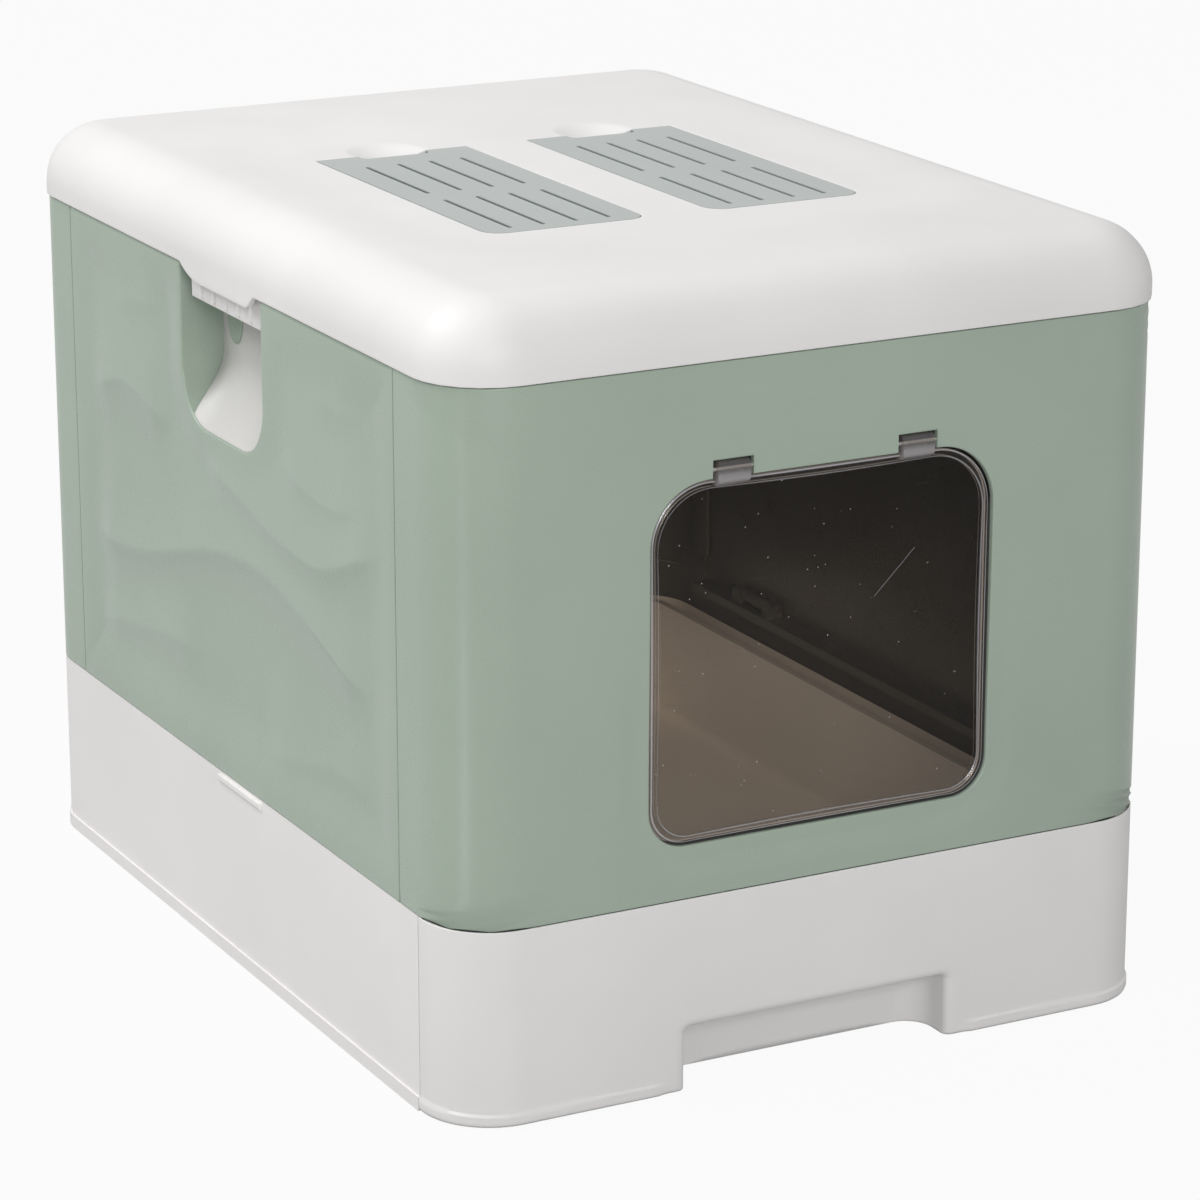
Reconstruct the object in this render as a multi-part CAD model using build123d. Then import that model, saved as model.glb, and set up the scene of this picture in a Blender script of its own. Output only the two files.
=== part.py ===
from build123d import *
import os

# An enclosed litter box: a base with a pull-out litter drawer, four walls of which the two
# sides fold inwards, a flap door, and a lift-off lid with two filter vents.
# Millimetres. +X is the right seen from the front, +Y points to the rear and +Z is up.
# The origin is on the floor under the middle of the base.

# Walls: outside plan, sheet thickness and height above the base
WALL_WIDTH = 383.0
WALL_DEPTH = 510.0
CORNER_RADIUS = 35.0
WALL = 3.0
WALL_HEIGHT = 254.5
BASE_HEIGHT = 96.5

# Gaps between pieces
SEAM_GAP = 0.4
SLIDE_GAP = 0.8
REST_GAP = 0.3
PIN_GAP = 0.05
SEAT_GAP = 0.02
PANEL_TOP_GAP = 0.1
OVERCUT = 1.0

# Base: foot flange, floor, drawer rails and the ledge that carries the wall hinges
FLANGE_HEIGHT = 7.0
FLANGE_PROUD = 1.0
FOOT_HEIGHT = 2.0
FOOT_WIDTH = 12.0
FLOOR = 2.5
RAIL_HEIGHT = 1.5
RAIL_WIDTH = 16.0
RAIL_INSET = 37.5
LEDGE_THICKNESS = 5.0
LEDGE_REACH = 11.0
LEDGE_END_GAP = 4.5
THUMB_LENGTH = 52.0
THUMB_HEIGHT = 4.0
THUMB_PROUD = 2.0
THUMB_DROP = 1.5
THUMB_Y = -12.0

# Drawer: front that wraps the corners, pull recess and litter tray
FASCIA_WALL = 3.0
FASCIA_SEAM_SETBACK = 3.0
FASCIA_LIFT = 1.0
PULL_WIDTH = 143.0
PULL_HEIGHT = 32.0
PULL_DEPTH = 27.0
PULL_CORNER = 14.0
PULL_WALL = 2.5
TRAY_SIDE_GAP = 14.0
TRAY_WALL = 2.5
TRAY_DROP = 21.5
TRAY_PULL_GAP = 3.5
TRAY_REAR_GAP = 12.0
TRAY_CORNER = 16.0
TRAY_FOOT_ROUND = 9.0
TRAY_RIM_HEIGHT = 12.0
TRAY_RIM_PROUD = 1.5
WEB_COUNT = 4
WEB_SPACING = 82.0
WEB_THICKNESS = 3.0

# Front and rear panels: returns round the corners, foot with pegs and a bead at the bottom
PANEL_SEAM_SETBACK = 22.5
BEAD_HEIGHT = 5.0
BEAD_PROUD = 0.6
PANEL_FOOT_END_GAP = 66.5
PANEL_FOOT_DEPTH = 10.0
PEG_LENGTH = 14.0
PEG_THICKNESS = 4.0
PEG_DEPTH = 6.0
PEG_END_GAP = 45.0

# Side panels: tongues behind the returns, hinges at the foot
TONGUE_OVERLAP = 11.5
TONGUE_THICKNESS = 2.5
TONGUE_END_GAP = 14.0
HINGE_END_GAP = 67.5
HINGE_LIFT = 0.7
HINGE_RADIUS = 3.8
HINGE_PIN_RADIUS = 2.0
KNUCKLE_LENGTH = 24.0
LUG_LENGTH = 10.0

# Handle notch in each side panel, its collar and the scoop behind it
NOTCH_WIDTH = 99.0
NOTCH_DEPTH = 80.0
NOTCH_CORNER = 28.0
COLLAR = 2.5
SCOOP_DEPTH = 23.0
SCOOP_HEIGHT = 32.0
SCOOP_BULGE = 2.6
SCOOP_WALL = 2.5

# Door: opening in the front panel, flap, and its two hinge clips
DOOR_WIDTH = 182.0
DOOR_HEIGHT = 174.0
DOOR_SILL = 26.0
DOOR_TOP_RADIUS = 30.0
DOOR_FOOT_RADIUS = 19.0
DOOR_GAP = 1.0
JAMB_DEPTH = 6.0
JAMB_WALL = 2.5
FLAP_THICKNESS = 2.4
FLAP_SETBACK = 2.6
FLAP_BEAD_WIDTH = 5.0
FLAP_BEAD_PROUD = 1.0
CLIP_WIDTH = 19.0
CLIP_END_GAP = 42.2
CLIP_RADIUS = 4.2
CLIP_SIDE_GAP = 1.0
DOOR_PIN_RADIUS = 1.2
DOOR_PIN_SETBACK = 2.0
DOOR_PIN_RISE = 4.1
DOOR_PIN_SEAT = 4.0
DOOR_BOSS_END = 1.0
DOOR_BOSS_RADIUS = 3.4

# Lid: overhang, edge rounding, shallow dish in the top and locating lips
LID_SKIRT = 6.2
LID_OVERHANG = 1.4
LID_TOP_CORNER = 5.4
LID_TOP_WALL = 6.0
DISH_DEPTH = 2.0
DISH_MARGIN = 17.0
DISH_SLOPE = 24.0
DISH_CORNER = 20.0
LIP_END_GAP = 71.5
LIP_HEIGHT = 11.0
LIP_WALL = 2.5
LIP_BRIDGE = 3.0
LID_TONGUE_FRONT_GAP = 17.5
LID_TONGUE_REAR_GAP = 9.5
LID_TONGUE_HEIGHT = 7.0
BAR_SIDE_GAP = 5.5
BAR_HEIGHT = 17.0
BAR_SETBACK = 4.0
BAR_RIB_COUNT = 5
BAR_RIB = 1.5

# Vents: cover plate, slots, finger notch, pivot stubs, filter holder and pad
VENT_WIDTH = 84.0
VENT_LENGTH = 197.0
VENT_SPACING = 119.0
VENT_FRONT_GAP = 141.0
VENT_CORNER = 10.0
VENT_GAP = 0.5
COVER_PLATE = 2.4
COVER_SKIRT = 2.0
SLOT_COLUMNS = 4
SLOT_ROWS = 2
SLOT_WIDTH = 2.4
SLOT_SIDE_GAP = 15.75
SLOT_FRONT_GAP = 9.0
SLOT_REAR_GAP = 26.0
SLOT_ROW_GAP = 17.0
FINGER_WIDTH = 38.0
FINGER_DEPTH = 7.0
FINGER_CORNER = 4.0
DIMPLE_RADIUS = 40.0
DIMPLE_SINK = 5.0
PIVOT_DROP = 2.0
STUB_RADIUS = 1.0
STUB_LENGTH = 4.0
STUB_GAP = 0.1
HOLDER_FLANGE = 2.0
HOLDER_LAP = 6.0
HOLDER_LEDGE = 4.0
HOLDER_WALL = 2.0
GRID_SLOT = 8.0
GRID_PITCH = 14.0
PAD_THICKNESS = 6.0
PAD_HEADROOM = 2.7

# Derived planes
HALF_WIDTH = WALL_WIDTH / 2
HALF_DEPTH = WALL_DEPTH / 2
FRONT_Y = -HALF_DEPTH
WALL_TOP = BASE_HEIGHT + WALL_HEIGHT
FLOOR_TOP = FOOT_HEIGHT + FLOOR
TRAY_BOTTOM = FLOOR_TOP + RAIL_HEIGHT + REST_GAP
TRAY_TOP = BASE_HEIGHT - TRAY_DROP
TRAY_WIDTH = WALL_WIDTH - 2 * TRAY_SIDE_GAP
TRAY_FRONT_Y = FRONT_Y + PULL_DEPTH + PULL_WALL + TRAY_PULL_GAP
TRAY_REAR_Y = HALF_DEPTH - WALL - TRAY_REAR_GAP
FASCIA_REAR_Y = FRONT_Y + CORNER_RADIUS + FASCIA_SEAM_SETBACK
CORE_INSET = FASCIA_WALL + SLIDE_GAP
PANEL_BOTTOM = BASE_HEIGHT + SEAM_GAP
PANEL_TOP = WALL_TOP - PANEL_TOP_GAP
SIDE_TOP = WALL_TOP - SEAM_GAP
PANEL_FOOT_REACH = HALF_WIDTH - PANEL_FOOT_END_GAP
RETURN_Y = HALF_DEPTH - CORNER_RADIUS - PANEL_SEAM_SETBACK
NOTCH_FOOT = WALL_TOP - NOTCH_DEPTH
HINGE_X = HALF_WIDTH - WALL - SEAM_GAP - HINGE_RADIUS
HINGE_Z = BASE_HEIGHT + HINGE_LIFT + HINGE_RADIUS
DOOR_FOOT = BASE_HEIGHT + DOOR_SILL
DOOR_HEAD = DOOR_FOOT + DOOR_HEIGHT
DOOR_PIN_Y = FRONT_Y + DOOR_PIN_SETBACK
DOOR_PIN_Z = DOOR_HEAD + DOOR_PIN_RISE
FLAP_FACE_Y = FRONT_Y + FLAP_SETBACK
LID_BOTTOM = WALL_TOP + REST_GAP
LID_ROUND = CORNER_RADIUS + LID_OVERHANG - LID_TOP_CORNER
LID_TOP = LID_BOTTOM + LID_SKIRT + LID_ROUND
DISH_Z = LID_TOP - DISH_DEPTH
LID_UNDERSIDE = LID_TOP - LID_TOP_WALL
VENT_FRONT_Y = FRONT_Y + VENT_FRONT_GAP
VENT_REAR_Y = VENT_FRONT_Y + VENT_LENGTH
VENT_MID_Y = (VENT_FRONT_Y + VENT_REAR_Y) / 2
COVER_FOOT = LID_UNDERSIDE + REST_GAP
PIVOT_Y = VENT_FRONT_Y + VENT_CORNER
PIVOT_Z = DISH_Z - PIVOT_DROP
PAD_FOOT = LID_UNDERSIDE - PAD_HEADROOM - PAD_THICKNESS
HOLDER_FOOT = PAD_FOOT - REST_GAP - HOLDER_WALL


def block(x, y, z):
    """Box between three pairs of low and high limits."""
    size = [high - low for low, high in (x, y, z)]
    middle = [(low + high) / 2 for low, high in (x, y, z)]
    return Pos(*middle) * Box(*size)


def prism(face, bottom, top):
    """Plan view face raised from one height to another."""
    return extrude(Pos(0, 0, bottom) * face, amount=top - bottom)


def front_prism(face, front, rear):
    """Front view face (X and Z) carried from front to rear along Y."""
    plane = Plane(origin=(0, rear, 0), x_dir=(1, 0, 0), z_dir=(0, -1, 0))
    return extrude(plane * face, amount=rear - front)


def side_prism(face, low, high):
    """Side view face (Y and Z) carried from low to high along X."""
    plane = Plane(origin=(low, 0, 0), x_dir=(0, 1, 0), z_dir=(1, 0, 0))
    return extrude(plane * face, amount=high - low)


def rod_x(radius, low, high, y, z):
    """Round bar along X."""
    return Pos((low + high) / 2, y, z) * Rot(0, 90, 0) * Cylinder(radius, high - low)


def rod_y(radius, low, high, x, z):
    """Round bar along Y."""
    return Pos(x, (low + high) / 2, z) * Rot(90, 0, 0) * Cylinder(radius, high - low)


def wall_plan(inset):
    """Plan of the walls, drawn in by an inset."""
    radius = CORNER_RADIUS - inset
    return RectangleRounded(WALL_WIDTH - 2 * inset, WALL_DEPTH - 2 * inset, radius)


def wall_ring(outer, inner, bottom, top):
    """Ring between two insets of the walls' plan."""
    return prism(wall_plan(outer) - wall_plan(inner), bottom, top)


def both_sides(left):
    """A left-hand shape together with its mirror image."""
    return left + mirror(left, about=Plane.YZ)


def zone_before(y):
    """Everything in front of a plane across the box."""
    far = WALL_DEPTH + WALL_WIDTH
    return block((-far, far), (-far, y), (-far, far))


def make_base():
    """Base moulding: outer walls, stepped-in front frame, floor, rails and hinge lugs."""
    seam_y = FASCIA_REAR_Y + SEAM_GAP
    front_zone = zone_before(seam_y)
    joggle_zone = zone_before(seam_y + WALL)
    outside = prism(wall_plan(0), 0, BASE_HEIGHT) + prism(wall_plan(-FLANGE_PROUD), 0, FLANGE_HEIGHT)
    core = prism(wall_plan(CORE_INSET), 0, BASE_HEIGHT)
    base = (outside - front_zone) + core
    cavity_top = BASE_HEIGHT + WALL
    base -= prism(wall_plan(WALL), FLOOR_TOP, cavity_top) - joggle_zone
    base -= prism(wall_plan(CORE_INSET + WALL), FLOOR_TOP, cavity_top)
    base -= prism(wall_plan(CORE_INSET + FOOT_WIDTH), -WALL, FOOT_HEIGHT)

    # Drawer opening under the front rail, and room in the floor for the pull recess
    opening = TRAY_WIDTH / 2 + TRAY_RIM_PROUD + SLIDE_GAP
    frame_y = FRONT_Y + CORE_INSET + PANEL_FOOT_DEPTH
    bay_y = (2 * FRONT_Y, FRONT_Y + CORNER_RADIUS)
    base -= block((-opening, opening), bay_y, (FLOOR_TOP, TRAY_TOP + SLIDE_GAP + WALL))
    pull = PULL_WIDTH / 2 + PULL_WALL + SLIDE_GAP
    pull_rear = FRONT_Y + PULL_DEPTH + PULL_WALL + SLIDE_GAP
    base -= block((-pull, pull), (2 * FRONT_Y, pull_rear), (-WALL, FLOOR_TOP + WALL))
    rail_z = (TRAY_TOP + SLIDE_GAP + WALL, BASE_HEIGHT)
    rail_x = HALF_WIDTH - CORNER_RADIUS
    base += block((-rail_x, rail_x), (FRONT_Y + CORE_INSET, frame_y), rail_z)

    # Rear ledge for the rear panel's foot, rails under the tray
    ledge_z = (BASE_HEIGHT - LEDGE_THICKNESS, BASE_HEIGHT)
    rear_y = (HALF_DEPTH - CORE_INSET - PANEL_FOOT_DEPTH, HALF_DEPTH - WALL / 2)
    base += block((-rail_x, rail_x), rear_y, ledge_z)
    for side in (-1, 1):
        rail = side * (TRAY_WIDTH / 2 - RAIL_INSET)
        rail_x_limits = (rail - RAIL_WIDTH / 2, rail + RAIL_WIDTH / 2)
        rail_y = (TRAY_FRONT_Y, TRAY_REAR_Y)
        base += block(rail_x_limits, rail_y, (FLOOR_TOP, FLOOR_TOP + RAIL_HEIGHT))

    base += both_sides(base_side_ledge())
    for foot_y in (FRONT_Y + CORE_INSET, HALF_DEPTH - CORE_INSET - PANEL_FOOT_DEPTH):
        base -= peg_row(foot_y, SEAM_GAP)
    return base


def base_side_ledge():
    """Left ledge with its hinge lugs, and the thumb ledge on the outside."""
    inner = -HALF_WIDTH + WALL
    reach = RETURN_Y - LEDGE_END_GAP
    ledge_z = (BASE_HEIGHT - LEDGE_THICKNESS, BASE_HEIGHT)
    ledge = block((inner - WALL / 2, inner + LEDGE_REACH), (-reach, reach), ledge_z)
    for y in hinge_places():
        for low in (y - KNUCKLE_LENGTH / 2 - REST_GAP - LUG_LENGTH, y + KNUCKLE_LENGTH / 2 + REST_GAP):
            high = low + LUG_LENGTH
            lug_x = (-HINGE_X - HINGE_RADIUS, -HINGE_X + HINGE_RADIUS)
            lug = block(lug_x, (low, high), (BASE_HEIGHT - LEDGE_THICKNESS / 2, HINGE_Z))
            lug += rod_y(HINGE_RADIUS, low, high, -HINGE_X, HINGE_Z)
            pin_hole = HINGE_PIN_RADIUS + SEAT_GAP
            ledge += lug - rod_y(pin_hole, low - OVERCUT, high + OVERCUT, -HINGE_X, HINGE_Z)
    top = BASE_HEIGHT - THUMB_DROP
    thumb = Polyline(
        (-HALF_WIDTH + WALL / 2, top),
        (-HALF_WIDTH - THUMB_PROUD, top),
        (-HALF_WIDTH - THUMB_PROUD, top - THUMB_HEIGHT / 2),
        (-HALF_WIDTH + WALL / 2, top - THUMB_HEIGHT - THUMB_PROUD),
        close=True,
    )
    thumb_y = (THUMB_Y - THUMB_LENGTH / 2, THUMB_Y + THUMB_LENGTH / 2)
    return ledge + front_prism(make_face(thumb), *thumb_y)


def hinge_places():
    """Y of the hinges along a side wall."""
    place = RETURN_Y - HINGE_END_GAP
    return (-place, place)


def peg_row(foot_y, grow):
    """Pegs under a panel's foot, or their sockets when grown by a gap."""
    middle = foot_y + PANEL_FOOT_DEPTH / 2
    pegs = Part()
    place = PANEL_FOOT_REACH - PEG_END_GAP
    for x in (-place, place):
        pegs += block(
            (x - PEG_LENGTH / 2 - grow, x + PEG_LENGTH / 2 + grow),
            (middle - PEG_THICKNESS / 2 - grow, middle + PEG_THICKNESS / 2 + grow),
            (BASE_HEIGHT - PEG_DEPTH - grow, BASE_HEIGHT + SEAM_GAP),
        )
    return pegs


def make_drawer_front():
    """Drawer front: wall that wraps the corners, pull recess and webs to the tray."""
    top = BASE_HEIGHT
    wall = wall_ring(0, FASCIA_WALL, FASCIA_LIFT, top)
    wall += wall_ring(-FLANGE_PROUD, FASCIA_WALL / 2, FASCIA_LIFT, FLANGE_HEIGHT)
    front = wall & zone_before(FASCIA_REAR_Y)
    pocket = prism(pull_plan(PULL_WALL), FASCIA_LIFT, PULL_HEIGHT + PULL_WALL)
    inside = FRONT_Y + FASCIA_WALL / 2
    front += pocket - zone_before(inside)
    front -= prism(pull_plan(0), -WALL, PULL_HEIGHT)
    web_top = TRAY_TOP - TRAY_RIM_HEIGHT - SLIDE_GAP
    for index in range(WEB_COUNT):
        x = (index - (WEB_COUNT - 1) / 2) * WEB_SPACING
        foot = FLOOR_TOP + WALL if abs(x) > PULL_WIDTH / 2 + PULL_WALL else PULL_HEIGHT + PULL_WALL / 2
        web_x = (x - WEB_THICKNESS / 2, x + WEB_THICKNESS / 2)
        front += block(web_x, (inside, TRAY_FRONT_Y), (foot, web_top))
    return front


def pull_plan(grow):
    """Plan of the pull recess, open to the front, grown by a wall."""
    rear = FRONT_Y + PULL_DEPTH + grow
    start = FRONT_Y - PULL_DEPTH
    face = Pos(0, (start + rear) / 2) * Rectangle(PULL_WIDTH + 2 * grow, rear - start)
    return fillet(face.vertices().group_by(Axis.Y)[-1], PULL_CORNER + grow)


def tray_plan(inset):
    """Plan of the litter tray, drawn in by an inset."""
    length = TRAY_REAR_Y - TRAY_FRONT_Y
    face = RectangleRounded(TRAY_WIDTH - 2 * inset, length - 2 * inset, TRAY_CORNER - inset)
    return Pos(0, (TRAY_REAR_Y + TRAY_FRONT_Y) / 2) * face


def make_tray():
    """Litter tray with rounded foot and a rim band."""
    outside = prism(tray_plan(0), TRAY_BOTTOM, TRAY_TOP)
    outside = fillet(outside.edges().group_by(Axis.Z)[0], TRAY_FOOT_ROUND)
    inside = prism(tray_plan(TRAY_WALL), TRAY_BOTTOM + TRAY_WALL, TRAY_TOP + TRAY_WALL)
    inside = fillet(inside.edges().group_by(Axis.Z)[0], TRAY_FOOT_ROUND - TRAY_WALL)
    rim = prism(tray_plan(-TRAY_RIM_PROUD) - tray_plan(0), TRAY_TOP - TRAY_RIM_HEIGHT, TRAY_TOP)
    return outside + rim - inside


def panel_shell():
    """Ring of the front and rear panels with the bead along the bottom."""
    wall = wall_ring(0, WALL, PANEL_BOTTOM, PANEL_TOP)
    return wall + wall_ring(-BEAD_PROUD, WALL / 2, PANEL_BOTTOM, PANEL_BOTTOM + BEAD_HEIGHT)


def panel_foot(foot_y, wall_y):
    """Foot flange inside a panel, which stands on the base with two pegs."""
    half = PANEL_FOOT_REACH
    y = (min(foot_y, wall_y), max(foot_y + PANEL_FOOT_DEPTH, wall_y))
    foot = block((-half, half), y, (BASE_HEIGHT + SEAM_GAP, BASE_HEIGHT + SEAM_GAP + WALL))
    seat_y = (foot_y, foot_y + PANEL_FOOT_DEPTH)
    foot += block((-half, half), seat_y, (BASE_HEIGHT, BASE_HEIGHT + SEAM_GAP + WALL))
    return foot + peg_row(foot_y, 0)


def door_outline(inset):
    """Door outline in the front view, drawn in by an inset."""
    face = Rectangle(DOOR_WIDTH - 2 * inset, DOOR_HEIGHT - 2 * inset)
    face = Pos(0, (DOOR_FOOT + DOOR_HEAD) / 2) * face
    face = fillet(face.vertices().group_by(Axis.Y)[-1], DOOR_TOP_RADIUS - inset)
    return fillet(face.vertices().group_by(Axis.Y)[0], DOOR_FOOT_RADIUS - inset)


def clip_places():
    """X of the flap's two hinge clips."""
    place = DOOR_WIDTH / 2 - CLIP_END_GAP
    return (-place, place)


def make_front_panel():
    """Front wall with the door opening, its jamb and the notches for the hinge clips."""
    panel = panel_shell() & zone_before(-RETURN_Y)
    panel += panel_foot(FRONT_Y + CORE_INSET, FRONT_Y + WALL / 2)
    inner_y = FRONT_Y + WALL
    jamb = front_prism(door_outline(-JAMB_WALL), inner_y - WALL / 2, inner_y + JAMB_DEPTH)
    jamb_top = DOOR_HEAD - DOOR_TOP_RADIUS
    panel += jamb & block((-HALF_WIDTH, HALF_WIDTH), (FRONT_Y, 0), (BASE_HEIGHT, jamb_top))
    panel -= front_prism(door_outline(0), FRONT_Y - WALL, inner_y + 2 * JAMB_DEPTH)
    for x in clip_places():
        half = CLIP_WIDTH / 2 + CLIP_SIDE_GAP
        seat = half + DOOR_PIN_SEAT
        end = seat + DOOR_BOSS_END
        boss = rod_x(DOOR_BOSS_RADIUS, x - end, x + end, DOOR_PIN_Y, DOOR_PIN_Z)
        panel += boss - zone_before(FRONT_Y + SEAM_GAP)
        notch_z = (DOOR_HEAD - WALL, DOOR_PIN_Z + CLIP_RADIUS + REST_GAP)
        panel -= block((x - half, x + half), (FRONT_Y - WALL, inner_y + JAMB_DEPTH), notch_z)
        pin_hole = DOOR_PIN_RADIUS + SEAT_GAP
        panel -= rod_x(pin_hole, x - seat, x + seat, DOOR_PIN_Y, DOOR_PIN_Z)
    return panel


def make_door_pins():
    """Two pins across the clip notches."""
    reach = CLIP_WIDTH / 2 + CLIP_SIDE_GAP + DOOR_PIN_SEAT - SEAT_GAP
    pins = [rod_x(DOOR_PIN_RADIUS, x - reach, x + reach, DOOR_PIN_Y, DOOR_PIN_Z) for x in clip_places()]
    return Part() + pins


def make_flap():
    """See-through flap: plate, bead round its edge and two clips round the hinge pins."""
    rear = FLAP_FACE_Y + FLAP_THICKNESS
    plate = front_prism(door_outline(DOOR_GAP), FLAP_FACE_Y, rear)
    bead = door_outline(DOOR_GAP) - door_outline(DOOR_GAP + FLAP_BEAD_WIDTH)
    flap = plate + front_prism(bead, FLAP_FACE_Y - FLAP_BEAD_PROUD, rear + FLAP_BEAD_PROUD)
    neck_y = (DOOR_PIN_Y - CLIP_RADIUS / 2, DOOR_PIN_Y + CLIP_RADIUS)
    neck_z = (DOOR_HEAD - DOOR_GAP - FLAP_BEAD_WIDTH / 2, DOOR_PIN_Z)
    for x in clip_places():
        low, high = x - CLIP_WIDTH / 2, x + CLIP_WIDTH / 2
        flap += block((low, high), neck_y, neck_z)
        flap += rod_x(CLIP_RADIUS, low, high, DOOR_PIN_Y, DOOR_PIN_Z)
        flap -= rod_x(DOOR_PIN_RADIUS + PIN_GAP, low - OVERCUT, high + OVERCUT, DOOR_PIN_Y, DOOR_PIN_Z)
    return flap


def make_rear_panel():
    """Plain rear wall that wraps both rear corners."""
    panel = panel_shell() - zone_before(RETURN_Y)
    return panel + panel_foot(HALF_DEPTH - CORE_INSET - PANEL_FOOT_DEPTH, HALF_DEPTH - WALL / 2)


def notch_outline(grow):
    """Handle notch in the side view, grown by a collar."""
    foot = NOTCH_FOOT - grow
    head = WALL_TOP + NOTCH_DEPTH
    face = Pos(0, (foot + head) / 2) * Rectangle(NOTCH_WIDTH + 2 * grow, head - foot)
    return fillet(face.vertices().group_by(Axis.Y)[0], NOTCH_CORNER + grow)


def scoop_face(grow):
    """Cross-section of the hollow in front of the scoop's back, grown by a wall."""
    outside = -HALF_WIDTH
    back = outside + SCOOP_DEPTH + grow
    foot = NOTCH_FOOT - grow
    bend = NOTCH_FOOT + SCOOP_HEIGHT
    middle_x = outside + (SCOOP_DEPTH + grow) / 2 + SCOOP_BULGE
    middle_z = (foot + bend) / 2 - SCOOP_BULGE
    lines = [
        Line((outside - WALL, foot), (outside, foot)),
        ThreePointArc((outside, foot), (middle_x, middle_z), (back, bend)),
        Line((back, bend), (back, SIDE_TOP)),
        Line((back, SIDE_TOP), (outside - WALL, SIDE_TOP)),
        Line((outside - WALL, SIDE_TOP), (outside - WALL, foot)),
    ]
    return make_face(lines)


def make_left_panel():
    """Left wall: sheet with tongues, handle notch with its collar, and hinge knuckles."""
    outer, inner = -HALF_WIDTH, -HALF_WIDTH + WALL
    end = RETURN_Y - SEAM_GAP
    panel = block((outer, inner), (-end, end), (PANEL_BOTTOM, SIDE_TOP))
    panel += block((outer - BEAD_PROUD, inner), (-end, end), (PANEL_BOTTOM, PANEL_BOTTOM + BEAD_HEIGHT))
    tongue_z = (PANEL_BOTTOM + TONGUE_END_GAP, SIDE_TOP - TONGUE_END_GAP)
    for side in (-1, 1):
        tip = side * (RETURN_Y + TONGUE_OVERLAP)
        root = side * (RETURN_Y - TONGUE_OVERLAP)
        span = (min(tip, root), max(tip, root))
        tongue = block((inner + REST_GAP, inner + REST_GAP + TONGUE_THICKNESS), span, tongue_z)
        base_span = (min(root, side * end), max(root, side * end))
        panel += tongue + block((inner - WALL / 2, inner + TONGUE_THICKNESS), base_span, tongue_z)

    collar = notch_outline(COLLAR)
    depth = outer + SCOOP_DEPTH
    pocket = side_prism(collar, inner - WALL / 2, depth) & reach_of_scoop(-REST_GAP)
    panel += pocket
    panel -= side_prism(notch_outline(0), outer - WALL, depth + WALL)

    for y in hinge_places():
        low, high = y - KNUCKLE_LENGTH / 2, y + KNUCKLE_LENGTH / 2
        web_z = (HINGE_Z - HINGE_RADIUS, HINGE_Z + HINGE_RADIUS)
        knuckle = rod_y(HINGE_RADIUS, low, high, -HINGE_X, HINGE_Z)
        knuckle += block((inner - WALL / 2, -HINGE_X), (low, high), web_z)
        panel += knuckle - rod_y(HINGE_PIN_RADIUS + PIN_GAP, low - OVERCUT, high + OVERCUT, -HINGE_X, HINGE_Z)
    return panel


def reach_of_scoop(grow):
    """Space in front of the scoop, as wide as the notch with its collar."""
    half = NOTCH_WIDTH / 2 + COLLAR
    return front_prism(scoop_face(grow), -half, half)


def make_left_cup():
    """Scoop that closes the handle notch: curved back behind the collar, lip in the notch."""
    inner = -HALF_WIDTH + WALL
    sheet = reach_of_scoop(SCOOP_WALL) - reach_of_scoop(0)
    far = inner + SCOOP_DEPTH + SCOOP_WALL
    behind = sheet & side_prism(notch_outline(COLLAR), inner + REST_GAP, far)
    lip = sheet & side_prism(notch_outline(-REST_GAP), -HALF_WIDTH, far)
    return behind + lip


def make_left_pins():
    """Hinge pins of the left wall."""
    reach = KNUCKLE_LENGTH / 2 + REST_GAP + LUG_LENGTH
    pins = [rod_y(HINGE_PIN_RADIUS, y - reach, y + reach, -HINGE_X, HINGE_Z) for y in hinge_places()]
    return Part() + pins


def lid_block(inset, bottom, top, rounding):
    """Lid plan raised to a height, with rounded upper edges."""
    width = WALL_WIDTH + 2 * (LID_OVERHANG - inset)
    depth = WALL_DEPTH + 2 * (LID_OVERHANG - inset)
    face = RectangleRounded(width, depth, CORNER_RADIUS + LID_OVERHANG - inset)
    solid = prism(face, bottom, top)
    return fillet(solid.edges().group_by(Axis.Z)[-1], rounding)


def dimple_reach():
    """Radius of a finger dimple where it meets the dish."""
    return (DIMPLE_RADIUS**2 - (DIMPLE_RADIUS - DIMPLE_SINK) ** 2) ** 0.5


def dish_cut():
    """Shallow dish round the vents with sloping sides."""
    width = VENT_SPACING + VENT_WIDTH + 2 * DISH_MARGIN
    rear = VENT_REAR_Y + dimple_reach() + DISH_MARGIN
    front = VENT_FRONT_Y - DISH_MARGIN
    middle = Pos(0, (front + rear) / 2)
    low = Pos(0, 0, DISH_Z) * middle * RectangleRounded(width, rear - front, DISH_CORNER)
    spread = 2 * DISH_SLOPE
    wide = RectangleRounded(width + spread, rear - front + spread, DISH_CORNER + DISH_SLOPE)
    return loft([low.face(), (Pos(0, 0, LID_TOP) * middle * wide).face()])


def vent_places():
    """X of the two vents' middles."""
    return (-VENT_SPACING / 2, VENT_SPACING / 2)


def vent_plan(grow):
    """Outline of a vent opening: round corners in front, square at the rear."""
    face = Rectangle(VENT_WIDTH + 2 * grow, VENT_LENGTH + 2 * grow)
    face = Pos(0, VENT_MID_Y) * face
    return fillet(face.vertices().group_by(Axis.Y)[0], VENT_CORNER + grow)


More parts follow.
